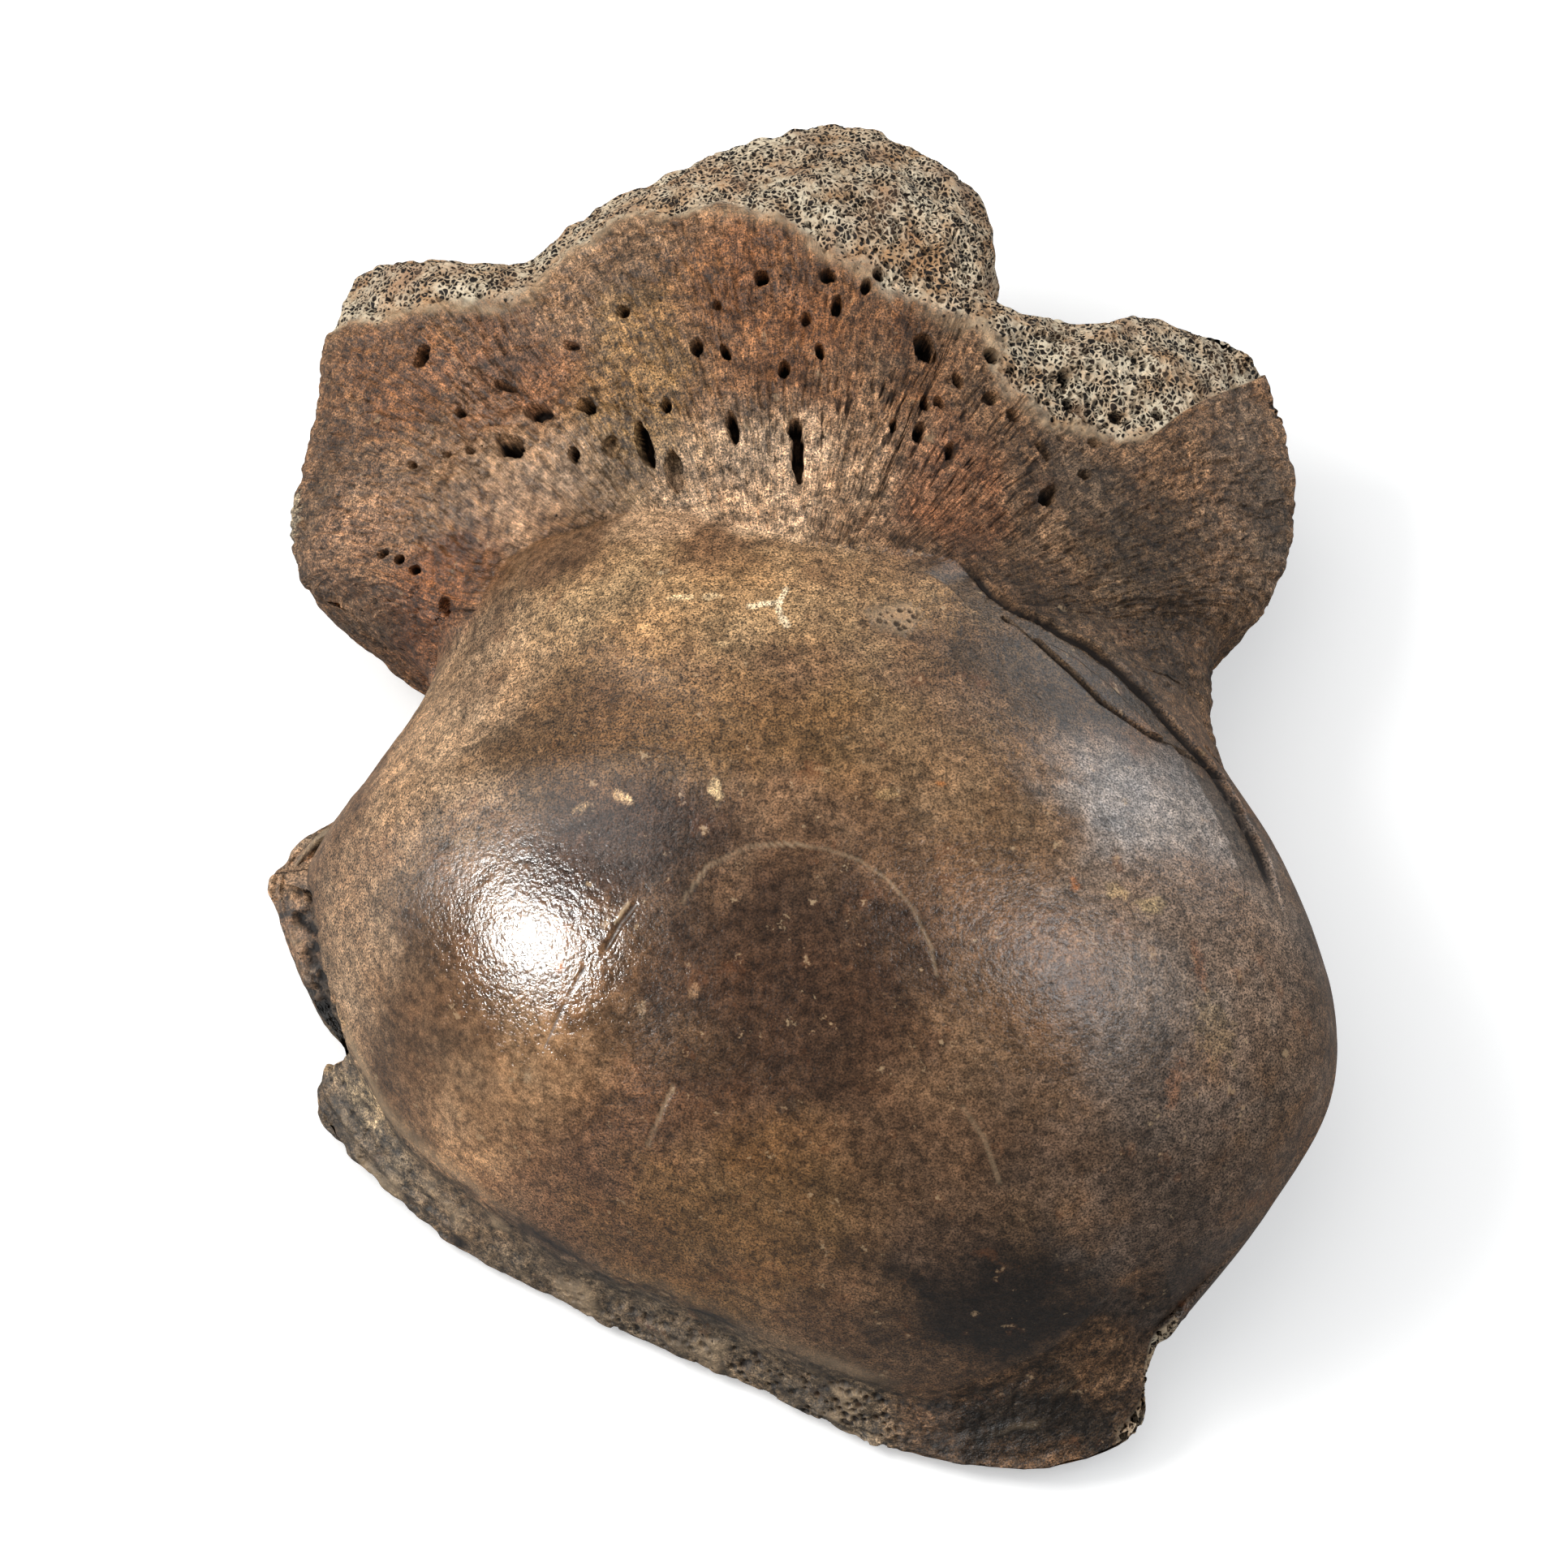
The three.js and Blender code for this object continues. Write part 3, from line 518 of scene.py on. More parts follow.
def sponge_reach(site):
    """How far a place lies outside the sponge border, in millimetres, seen from the hub."""
    away = site["place"][..., :2] - HUB
    border = np.array(SPONGE_BORDER, float) - HUB
    angle = np.arctan2(border[:, 1], border[:, 0])
    reach = np.interp(
        site["angle"], angle, np.hypot(border[:, 0], border[:, 1]), left=400, right=400)
    return np.hypot(away[..., 0], away[..., 1]) - reach


def sponge_share(site):
    """How much the spongy inside lies open: 1 well outside the sponge border, with a ragged
    edge. It also shows on the broken face of the rim foot."""
    place = site["place"]
    ragged = clouds(place, SPONGE_EDGE)
    crest = smooth((sponge_reach(site) + ragged) / 6 + 0.55)
    foot = smooth(2.4 - 1.6 * dent(place, *FOOT_FACE) + 0.3 * ragged)
    return np.maximum(crest * (site["rows"] < 3), foot * smooth((site["rows"] - 1.66) / 0.12))


def sponge_depth(place, share):
    """Depth of the larger open cells, 0 on their walls: the gap between the nearest and
    second nearest seed. Here and there the walls are gone, and cells run together."""
    depth = np.zeros(share.shape)
    open_here = share > LEAST_SHARE
    inside = place[open_here]
    bent = inside + 0.7 * np.stack([cloud(inside, 2.5, seed) for seed in (5, 6, 7)], -1)
    nearest, second, own = cells(bent, CELL_SIZE, 10)
    worn = 0.14 * cloud(inside, 2.2, 14)
    depth[open_here] = smooth((second - nearest - 0.14 + worn) / 0.3) * (0.2 + own)
    return depth * share


def pit_depth(place, size, radius, seed, share):
    """Round pits of many sizes, one in most cubes, each 1 at its middle."""
    depth = np.zeros(share.shape)
    here = share > LEAST_SHARE
    nearest, _, own = cells(place[here], size, seed)
    depth[here] = smooth((radius * own - nearest) / 0.12)
    return depth * share


def vessel_depth(site):
    """Depth of the vessel holes in millimetres, with slightly uneven borders."""
    place = site["place"]
    uneven = clouds(place, VESSEL_EDGE)
    depth = np.zeros(place.shape[:2])
    for *where, deep in VESSEL_HOLES:
        near = dent(place, *where) + uneven
        depth = np.maximum(depth, deep * smooth((1.12 - near) / 0.3))
    return depth * (site["rows"] < 2)


def lip_share(site):
    """Where the crest's lip overhangs the ball, at the right: 1 between its two ends."""
    angle = np.degrees(site["angle"])
    return (smooth((LIP["from"] - angle) / LIP["fade"])
            * smooth((angle - LIP["to"]) / LIP["fade"]))


def solid_relief(site, sponge):
    """The relief that the solid has too: lumps of the crest and the rim, the worn sponge, the
    lip over its sunken strip, and the rim's bead over its groove. Also the strip's mask."""
    place, past, wall = site["place"], site["past"], site["wall"]
    outside = smooth(past / 5 + 0.6) * np.maximum(site["crest"], RIM_LUMPS * wall)
    small = SMALL_LUMPS["height"] * (1 + SPONGE_ROUGHNESS * sponge)
    lumpy = (BROAD_LUMPS["height"] * cloud(place, BROAD_LUMPS["size"], BROAD_LUMPS["seed"])
             + small * cloud(place, SMALL_LUMPS["size"], SMALL_LUMPS["seed"]))
    ragged = past + 0.7 * cloud(place, 4, 24)
    strip = smooth((ragged + LIP["width"]) / 1.2) * smooth(0.5 - ragged / 0.8)
    raised = LIP["raise"] * bell(np.maximum(ragged, 0) / 3) * smooth(ragged / 0.7)
    ridge = (BEAD["height"] * bell((past - BEAD["out"]) / BEAD["width"])
             - GROOVE["depth"] * bell((past - GROOVE["out"]) / GROOVE["width"]))
    lip = lip_share(site)
    lift = (outside * (lumpy - SPONGE_SINK * sponge) + lip * (raised - LIP["sink"] * strip)
            + wall * (1 - site["flare"]) * ridge)
    return lift * np.clip(15 - 5 * site["rows"], 0, 1), strip * lip


def break_depth(site):
    """Depths of the ball's breaks in millimetres: of the crack in the strip beside the lip, the
    gap behind the flake at its end and the crevice beside the knob, and of the sunken seam
    below the knob. On steep ground, plan distances are stretched to those along the skin."""
    place, rows = site["place"], site["rows"]
    ragged = 0.25 * cloud(place, 2.1, 26)
    steepness = 1 / np.maximum(site["normal"][..., 2], 0.2)
    crack = smooth(1.5 - line_distance(place, STRIP_CRACK) * steepness / 0.7 + ragged)
    gap = smooth(1.5 - line_distance(place, FLAKE_GAP) * steepness / 1.1 + ragged) * (rows < 2)
    x, y = CREVICE["middle"]
    out = dent(place, x, y, CREVICE["width"] / 2, CREVICE["length"] / 2, CREVICE["turn"])
    crevice = CREVICE["depth"] * np.sqrt(np.maximum(1 - (out + ragged) ** 2, 0)) * (rows < 2)
    seam = smooth(1.6 - line_distance(place, PORE_STRIP) / 2 + 2 * ragged) * (rows < 2)
    high = place[..., 2] > 60
    broken = np.maximum.reduce([DEPTH["crack"] * crack * high, DEPTH["gap"] * gap, crevice])
    return broken, DEPTH["seam"] * seam


def scratches_of(site):
    """Depth of the ball's thin lines, and how pale or dark they are."""
    place = site["place"]
    depth = np.zeros(place.shape[:2])
    paleness = np.zeros(place.shape[:2])
    fading = 0.75 + 0.5 * cloud(place, 5, 28)
    for points, width, deep, pale in SCRATCHES:
        near = smooth(1.5 - line_distance(place, points) / width) * (site["rows"] < 1) * fading
        depth = depth + deep * near
        paleness = paleness + pale * near
    return depth, paleness


def wall_relief(site):
    """Heights of the rim wall's own forms: of the ridges along it; and of a second ledge half
    way down together with the scallops of its lower border."""
    place, past, rows = site["place"], site["past"], site["rows"]
    along = site["run"] + 3 * cloud(place, 15, 64)
    bent = past + 0.8 * cloud(place, 6, 59)
    ridges = (0.55 * cloud(np.stack([along / 9, bent / 1.9, past * 0], -1), 1, 63)
              + 0.3 * cloud(np.stack([along / 5, bent / 1.1, past * 0], -1), 1, 64))
    ledge = 0.9 * bell((rows - 1.62 - 0.09 * cloud(place, 14, 65)) / 0.06)
    scallop = bell((rows - 2.1) / 0.35) * clouds(place, SCALLOPS)
    kept = (1 - 0.8 * site["foot"]) * (1 - 0.85 * site["narrow"])
    return ridges * (1 - 0.5 * site["foot"]), (ledge + scallop - 0.3) * kept


def skin_relief(site, sponge, fibre):
    """Height of the ball's slow ripple and of the flaky, fibrous crest and rim, with their
    spongy cells and the slits along the grain; and how deep cells and slits are, to 1."""
    place = site["place"]
    wall = site["wall"] * (site["rows"] < 3)
    outside = outside_share(site) * (site["rows"] < 3)
    flakes_end = 0.5 * bell(cloud(place, 5.2, 39) / 0.13) * smooth(0.6 + cloud(place, 12, 49))
    flaky = (clouds(place, FLAKES) - flakes_end) * (1 - 0.6 * wall)
    height = mix(clouds(place, RIPPLE), flaky, outside) + 0.9 * sponge * cloud(place, 4.6, 38)
    grain = fibre * (1 - 0.8 * wall) * 0.42 * along_grain(site, 1.3, 5, 50)
    slits = smooth((along_grain(site, 1.5, 6, 54) + 0.2 * cloud(place, 3, 56) - 0.36) / 0.22)
    slits = slits * fibre * (0.32 + 0.6 * spot(place, GROOVED_CREST, 1.6)) * (1 - wall)
    slits = slits * (1 - 0.6 * spot(place, SMOOTH_NECK))
    cell = sponge_depth(place, sponge)
    return height + grain - DEPTH["cell"] * cell - DEPTH["slit"] * slits, cell, slits


def pits_of(site, fibre, seam, grains):
    """Depth of the round pits of every kind in millimetres, and the painted shade that darkens
    them.
    """
    place, past, rows = site["place"], site["past"], site["rows"]
    wall = site["wall"] * (rows < 3)
    bare = (1 - site["foot"]) * (1 - site["narrow"])
    near_ridge = smooth((past - 1.5) / 2) * smooth((15 - past) / 6) * (1 - 0.7 * site["foot"])
    shares = {
        "wide": fibre * mix(0.3, 0.55 * bare, wall),
        "tight": fibre * smooth(0.45 + cloud(place, 13, 58)) * (1 - wall),
        "dimple": wall * near_ridge * smooth(
            (place[..., 0] + 50) / 40 + 0.7 * cloud(place, 12, 62)),
        "speckle": grains * (rows < 1),
        "growth": smooth(rows - 3),
        "seam pore": np.clip(seam, 0, 1),
    }
    depth = shade_of_pits = 0
    for kind, (size, radius, seed, deep, dark) in PITS.items():
        pit = pit_depth(place, size, radius, seed, shares[kind])
        depth = depth + deep * pit
        shade_of_pits = np.maximum(shade_of_pits, dark * pit)
    return depth, shade_of_pits


def pale_of(site, ridges, paleness, grains):
    """The mask of what is pale: the rim's ridge line, the tops of its wall's ridges, painted
    lighter as painted light, pale thin lines, the crust along the sponge's border, and the rough
    patch on the ball."""
    place, past, rows = site["place"], site["past"], site["rows"]
    wall = site["wall"] * (rows < 3)
    ridge_line = wall * bell((past - BEAD["out"]) / 0.7) * smooth((28 - place[..., 0]) / 20)
    ridge_line = ridge_line * (1 - site["flare"]) * (1 - site["narrow"])
    crust = bell((sponge_reach(site) + 3 * cloud(place, 9, 3) + 1.5) / 2.2) * site["crest"]
    crust = crust * smooth(0.75 + cloud(place, 8, 48)) * (0.7 + 0.5 * cloud(place, 2, 47))
    # The last term paints the wall's ridge tops lighter: painted light on the relief.
    return np.clip(np.maximum.reduce([
        0.6 * ridge_line, paleness, 0.8 * crust * (rows < 2), 0.4 * grains * (rows < 1),
        wall * outside_share(site) * 0.5 * smooth(ridges * 2.2 - 0.4)]), 0, 1)


def relief_of(site):
    """Height of the relief along the normals in millimetres, and the masks that the finishes read:
    sponge, the mask of painted shade in holes and creases, fibre, strip, pale and gloss."""
    place, past, rows = site["place"], site["past"], site["rows"]
    wall = site["wall"] * (rows < 3)
    outside = outside_share(site) * (rows < 3)
    sponge = sponge_share(site)
    fibre = outside * (1 - sponge) * (1 - 0.85 * site["narrow"] * wall)
    grains = spot(place, ROUGH_PATCH, uneven=0.35 * cloud(place, 3, 69))
    form, strip = solid_relief(site, sponge)
    surface, cell, slits = skin_relief(site, sponge, fibre)
    ridges, ledges = wall_relief(site)
    vessel = vessel_depth(site)
    broken, seam = break_depth(site)
    scratch, paleness = scratches_of(site)
    pits, pit_shade = pits_of(site, fibre, seam, grains)
    # A groove along the crest's lip, painted dark as the lip's painted shadow.
    lip_shadow_line = lip_share(site) * bell((past + 0.7 * cloud(place, 4, 24) + 0.2) / 0.5) * (rows < 2)
    height = (form + surface + wall * outside * (ridges + ledges)
              - vessel - broken - seam - scratch - pits - DEPTH["lip line"] * lip_shadow_line)
    # Painted shade: holes, cracks, slits, pits, the line under the crest's lip and the valleys
    # between the rim wall's ridges are painted darker by this mask.
    recess_shade = np.clip(np.maximum.reduce([
        0.6 * cell, 0.75 * slits, pit_shade, smooth((vessel - 2.2) / 2.6), broken / 1.6,
        0.25 * seam, -0.8 * paleness, lip_shadow_line,
        wall * outside * 0.9 * smooth(-ridges * 2.2 - 0.3)]), 0, 1)
    gloss = np.maximum.reduce([
        spot(place, BALL_GLOSS) * (rows < 1.02),
        0.6 * spot(place, FRONT_GLOSS) * (rows < 1.02),
        spot(place, CORNER_GLOSS) * (1 - sponge)])
    return height, {"sponge": sponge, "recess_shade": recess_shade, "fibre": fibre, "strip": strip,
                    "pale": pale_of(site, ridges, paleness, grains), "gloss": gloss}


# Broad colours of the skin, some of them painted light and shade: name, x, y, half widths in x and
# y, colour, strength.
STAINS = [
    ("ball's tan top", -22, 12, 52, 20, (156, 123, 86), 0.9),
    ("ball's tan left", -76, -2, 20, 30, (172, 140, 108), 0.85),
    # Partly painted light: tan bone painted paler at the ball's lower left edge, where light falls
    # on it.
    ("tan left edge and painted light", -99, -50, 11, 32, (172, 138, 106), 0.85),
    ("ochre band", -8, -18, 46, 15, (112, 82, 48), 0.8),
    ("ochre right of it", 42, -28, 26, 20, (124, 96, 68), 0.7),
    ("dark patch by the groove", -32, -42, 24, 14, (56, 36, 23), 0.95),
    ("dark patch above it", -45, -13, 20, 15, (92, 66, 40), 0.8),
    ("dark middle", 0, -66, 34, 28, (62, 43, 30), 0.9),
    ("dark lower middle", 8, -84, 24, 17, (68, 46, 31), 0.85),
    # Partly painted light: tan bone painted paler at the ball's lower left, where light falls on
    # it.
    ("tan lower left and painted light", -66, -86, 22, 16, (176, 138, 102), 0.8),
    ("red lower left", -40, -100, 30, 12, (112, 76, 52), 0.7),
    ("brown bottom", -12, -112, 30, 14, (122, 88, 52), 0.8),
    # Partly painted shade: the foot, where the ball turns under, is painted near black over its
    # dark stain.
    ("dark foot and painted shade", 44, -127, 34, 12, (20, 14, 10), 0.95),
    ("foot's dark tip and painted shade", 62, -144, 32, 9, (34, 28, 22), 0.95),
    ("foot's right", 83, -122, 13, 19, (62, 51, 43), 0.9),
    ("knob", -114, -17, 9, 12, (150, 118, 90), 0.9),
    ("knob's shell", -113, -38, 7, 16, (118, 90, 68), 0.85),
    ("grey right", 92, -62, 36, 44, (118, 99, 84), 0.85),
    ("grey lower right", 80, -100, 30, 22, (94, 79, 68), 0.8),
    ("brown lower right", 34, -104, 24, 16, (100, 76, 58), 0.6),
    # Painted sheen: a cool grey patch where the back light's sheen lies on the ball's upper right.
    ("blue-grey sheen painted upper right", 78, -26, 22, 16, (132, 126, 122), 0.75),
    ("dark upper right", 52, 0, 28, 14, (64, 49, 33), 0.9),
    ("crest's red middle", 0, 90, 34, 26, (120, 78, 46), 0.9),
    ("crest's tan neck", -4, 50, 42, 14, (206, 170, 136), 0.9),
    ("crest's red right", 38, 48, 20, 16, (116, 74, 46), 0.9),
    ("crest's khaki left", -35, 76, 15, 28, (128, 98, 62), 0.9),
    ("left lobe's brown", -90, 86, 22, 22, (112, 75, 46), 0.9),
    ("left lobe's orange", -62, 84, 18, 12, (126, 84, 56), 0.7),
    # Partly painted highlight: this pale tan band brightens where the left lobe gleams.
    ("left lobe's tan and painted gleam", -58, 54, 16, 12, (172, 138, 108), 0.8),
    ("left lobe's low end", -98, 52, 17, 14, (130, 97, 72), 0.8),
    ("left corner's red", -80, 36, 13, 12, (124, 78, 46), 0.85),
    ("right lobe's grey", 74, 36, 28, 26, (82, 63, 45), 0.95),
    ("right lobe's middle", 60, 62, 16, 14, (100, 79, 60), 0.85),
    ("right lobe's shell", 104, 66, 13, 28, (110, 89, 70), 0.85),
    ("dark pocket", -6, 127, 9, 8, (92, 56, 36), 0.8),
    ("dark sponge", 14, 126, 26, 16, (74, 54, 38), 0.8),
]
# Small marks of the ball, in the same numbers, with how far each is turned.
MARKS = [
    ("rough patch", 22.9, 10.6, 5.8, 4.3, 0, (134, 100, 70), 0.8),
    ("pale mark", -28.4, 23.3, 1.6, 0.6, 20, (206, 178, 140), 0.8),
    ("pale mark", -24.4, 15.6, 3.2, 0.8, 0, (200, 170, 130), 0.8),
    ("pale mark", -18.4, 15.4, 2.4, 1, 0, (200, 170, 130), 0.8),
    ("pale mark's arm", -6.6, 13.2, 3, 0.9, 10, (206, 180, 146), 1),
    ("pale mark's arm", -2.4, 15.4, 0.9, 2.8, -20, (206, 180, 146), 1),
    ("pale mark's arm", -2.2, 9.4, 1.1, 3.2, 20, (206, 180, 146), 1),
    ("pale fleck", -15.7, 2.5, 2, 0.9, 0, (184, 150, 108), 0.8),
    ("pale fleck", -16.6, -32.5, 1.6, 2.6, 0, (206, 172, 126), 0.9),
    ("pale fleck", -36.8, -31.9, 2.4, 1, -30, (196, 160, 116), 0.85),
    ("pale fleck", -45.5, -33, 2.4, 0.9, 20, (196, 160, 116), 0.85),
    ("pale fleck", -40, -57.5, 1, 1, 0, (180, 150, 116), 0.7),
    ("orange fleck", 31.7, -30.2, 1.4, 0.8, 0, (176, 112, 60), 0.8),
    ("orange fleck", 60.2, -50.8, 1, 1.3, 0, (160, 98, 54), 0.8),
    ("orange fleck", -50.2, -64.4, 1.2, 0.7, 30, (170, 106, 60), 0.8),
    ("yellow patch", 76.8, -53.1, 3.4, 2, 20, (158, 134, 96), 0.6),
    ("yellow patch", 69.2, -51.5, 2.6, 2.2, 0, (158, 132, 94), 0.6),
    ("worn patch", 91, -77, 4.5, 7, 10, (136, 112, 82), 0.6),
    ("rusty streak", 87, -64, 1.4, 5, 15, (132, 86, 56), 0.6),
    ("rusty streak", 82, -89, 1.6, 5, -10, (128, 86, 58), 0.5),
    ("ring mark", -21.3, -72.2, 1.2, 1.2, 0, (160, 128, 98), 0.6),
    ("ring mark", -57.7, -82.5, 1.2, 1.2, 0, (176, 148, 118), 0.6),
    ("ring mark", -32.6, -74.8, 1, 1.4, 0, (160, 132, 104), 0.6),
    ("chalky speck", 6, -28, 2.6, 1, 0, (176, 146, 108), 0.7),
    ("chalky speck", 20, -33, 3, 1.2, 10, (170, 138, 96), 0.6),
    ("dark spot", -2, -95, 3, 1.6, 0, (46, 38, 30), 0.6),
    ("dark spot", 28, 6, 12, 2.4, -20, (78, 62, 48), 0.6),
    ("cream chip", -116, 62, 3, 8, 0, (214, 190, 156), 0.9),
    ("cream edge", -104, -57, 3.4, 5, 20, (186, 156, 118), 0.7),
    ("cream edge", -97, -70, 2, 7, 35, (196, 168, 130), 0.6),
]
GROUND_COLOURS = {"ball": (110, 82, 58), "crest": (128, 97, 70), "rim": (104, 87, 67)}


def linear(colour):
    """A 0 to 255 screen colour as linear light."""
    share = np.asarray(colour, float) / 255
    return np.where(share <= 0.04045, share / 12.92, ((share + 0.055) / 1.055) ** 2.4)


def tint_of(site):
    """The skin's broad colours: a ground for ball, crest and rim, then each stain as a soft spot
    with an uneven border, a mottle, and the small marks with ragged borders. A few stains are
    painted light and shade."""
    place = site["place"]
    wall = site["wall"] * (1 - site["foot"])
    outside = (smooth(site["past"] / 3 + 0.5) * np.maximum(site["crest"], wall))[..., None]
    ground = mix(linear(GROUND_COLOURS["crest"]), linear(GROUND_COLOURS["rim"]),
                 site["wall"][..., None])
    tint = mix(linear(GROUND_COLOURS["ball"]), ground, outside)
    uneven = clouds(place, STAIN_EDGE)
    on_wall = 1 - 0.85 * site["wall"] * smooth(site["past"] / 2) * (1 - site["foot"])
    top = smooth(3.1 - site["rows"])
    for name, x, y, half_x, half_y, colour, strength in STAINS:
        kept = top if name.startswith("knob") else top * on_wall
        stain = spot(place, (x, y, half_x, half_y, 0), 1.35, uneven) * strength * kept
        tint = mix(tint, linear(colour), stain[..., None])
    mottled = (clouds(place, BROAD_MOTTLE)[..., None]
               + mix(0.4, 1, outside) * clouds(place, FINE_MOTTLE)[..., None])
    tint = tint * np.exp(mottled * np.array(MOTTLE_OF_CHANNELS))
    ragged = clouds(place, MARK_EDGE)
    for _, *where, colour, strength in MARKS:
        mark = smooth((1.1 - dent(place, *where) + ragged) / 0.45) * strength
        tint = mix(tint, linear(colour), (mark * (site["rows"] < 2))[..., None])
    return tint


def patch_corners(rows, columns, ring):
    """Row and column numbers of each quad's four corners, anticlockwise from outside."""
    row, column = np.meshgrid(np.arange(rows - 1), np.arange(columns - (not ring)), indexing="ij")
    row = row.reshape(-1, 1) + np.array([0, 1, 1, 0])
    column = column.reshape(-1, 1) + np.array([0, 0, 1, 1])
    return row, column


def closing_faces(here, ring, first_apex, last_apex):
    """Triangles from a patch's borders to inner points. A ring has a border at its first row
    and one at its last; another patch has one border all round."""
    if ring:
        loops = [(np.append(here[0][::-1], here[0][-1]), first_apex),
                 (np.append(here[-1], here[-1][0]), last_apex)]
    else:
        loop = np.concatenate([here[:, 0], here[-1, 1:], here[-2::-1, -1], here[0, -2::-1]])
        loops = [(loop, last_apex)]
    return np.concatenate([
        np.column_stack([loop[1:], loop[:-1], np.full(len(loop) - 1, apex)])
        for loop, apex in loops])


def set_corner_map(mesh, name, corners, spare):
    """A UV map from one pair of numbers for each quad corner; closing faces get zeros."""
    layer = mesh.uv_layers.new(name=name)
    values = np.concatenate([corners.reshape(-1, 2), np.zeros((spare, 2))])
    layer.data.foreach_set("uv", values.astype(np.float32).ravel())


def make_piece(name, span, rows, columns, finish):
    """A closed patch of the bone: its grid of places, closing faces to the core or, at the
    ball's and the underside's middle, to a pole, its masks and tint as attributes, an even
    UV map for baking, and one in metres along the grain."""
    ring = span[1] - span[0] >= 1
    steps = np.arange(-1, columns + 1 + (not ring))
    u = span[0] + (span[1] - span[0]) * steps / columns
    t = np.concatenate([[2 * rows[0] - rows[1]], rows, [2 * rows[-1] - rows[-2]]])
    site = site_of(u, t)
    height, masks = relief_of(site)
    place = site["place"] + site["normal"] * height[..., None]
    place[..., 2] = np.maximum(place[..., 2], 0)
    kept = (slice(1, -1), slice(1, -1))
    normal = normals_of(place)[kept].reshape(-1, 3)
    place = place[kept]
    shape = place.shape[:2]

    core, pole = shape[0] * shape[1], shape[0] * shape[1] + 1
    here = np.arange(core).reshape(shape)
    row, column = patch_corners(*shape, ring)
    quads = here[row, column % shape[1]]
    at_top, at_bottom = rows[0] < 0.1, rows[-1] > 3.9
    closing = closing_faces(here, ring, pole if at_top else core, pole if at_bottom else core)
    middle = place[0].mean(0) if at_top else place[-1].mean(0)
    vertices = np.concatenate([place.reshape(-1, 3), CORE[None], middle[None]])
    mesh = bpy.data.meshes.new(name)
    mesh.from_pydata((vertices * MM).tolist(), [], quads.tolist() + closing.tolist())

    for mask, values in masks.items():
        layer = mesh.attributes.new(mask, "FLOAT", "POINT")
        flat = np.concatenate([values[kept].ravel(), [0, 0]])
        layer.data.foreach_set("value", flat.astype(np.float32))
    tint = tint_of(site)[kept].reshape(-1, 3)
    tint = np.concatenate([tint, tint[:1], tint[-1:]])
    layer = mesh.attributes.new("tint", "FLOAT_COLOR", "POINT")
    layer.data.foreach_set("color", np.column_stack([tint, np.ones(len(tint))]).ravel())
    even = np.stack([column / (shape[1] - (not ring)), row / (shape[0] - 1)], -1)
    step = LINE_LENGTH * (span[1] - span[0]) / columns
    run = span[0] * LINE_LENGTH + column * step
    past = site["past"][kept][row, column % shape[1]]
    set_corner_map(mesh, "OFBake", even, closing.size)
    grain = [past, run] if name.startswith("rim") else [run, past]
    set_corner_map(mesh, "Grain", np.stack(grain, -1) * MM, closing.size)
    mesh.polygons.foreach_set("use_smooth", np.ones(len(mesh.polygons), bool))
    mesh.normals_split_custom_set_from_vertices(
        np.concatenate([normal, [[0, 0, 1], [0, 0, 1]]]).tolist())
    mesh.materials.append(finish)
    piece = bpy.data.objects.new(name, mesh)
    bpy.context.scene.collection.objects.link(piece)
    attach(piece, "root")
    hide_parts("bone")
    return piece


# Screen colours of the finishes, from 0 to 255.
STRIP_BROWN = (72, 58, 44)
PALE_CREAM = (216, 186, 148)
STRUT_TAN = (196, 156, 114)
STRUT_CREAM = (255, 240, 210)
STRUT_RUST = (160, 104, 62)
# The dark pore and hollow colours are painted shade in pores, holes and cracks; the pore mud is mud
# in some pores.
PORE_SHADE = (24, 16, 11)
PORE_MUD = (84, 62, 44)
HOLLOW_SHADE = (26, 18, 13)
# Factors of the skin's cooler and warmer places, and the colour of a group's unlinked input.
COOLER = (0.96, 1.0, 1.03, 1)
WARMER = (1.06, 0.99, 0.91, 1)
UNLINKED_COLOUR = (0.2, 0.15, 0.1, 1)
# Flecks: scale of their noise, its values where they start and are whole, share and colour.
FLECKS = (
    (120, 0.6, 0.7, 0.35, (146, 86, 46)),
    (240, 0.64, 0.7, 0.75, (194, 164, 126)),
    (900, 0.33, 0.28, 0.7, (44, 33, 25)),
)
THREADS = ((700, 160), (1700, 420))     # scales of the streaks across and along the grain
RECESS_SHADE_RANGE = (0.12, 0.8)              # where the painted shade in a hole starts, and where it is whole
STRIP_SHARE = 0.75
PALE_SHARE = 0.7
HOLE_ROUGHNESS = 0.85
PORE_BUMP = 0.8
# Finishes: name and strengths. Shine is the roughness where the gloss mask is 0 and 1.
FINISHES = {
    "ball": ("Polished joint", {
        "patches": 0.3, "grit": 0.5, "stipple": 0.9, "flecks": 0.8, "threads": 0.4,
        "shine": (0.46, 0.09), "bumps": 0.33, "weave": 0.2, "specular": 0.42, "spongy": False}),
    "foot": ("Smooth foot", {
        "patches": 0.4, "grit": 0.7, "stipple": 0.8, "flecks": 0.7, "threads": 1.0,
        "shine": (0.5, 0.3), "bumps": 0.8, "weave": 0.7, "specular": 0.3, "spongy": True}),
    "crest": ("Fibrous crest", {
        "patches": 0.4, "grit": 0.65, "stipple": 0.8, "flecks": 0.6, "threads": 1.0,
        "shine": (0.55, 0.12), "bumps": 1.0, "weave": 0.9, "specular": 0.38, "spongy": True}),
    "rim": ("Growth rim", {
        "patches": 0.5, "grit": 0.8, "stipple": 0.7, "flecks": 0.8, "threads": 1.2,
        "shine": (0.65, 0.4), "bumps": 0.6, "weave": 0.7, "specular": 0.4, "spongy": True}),
}


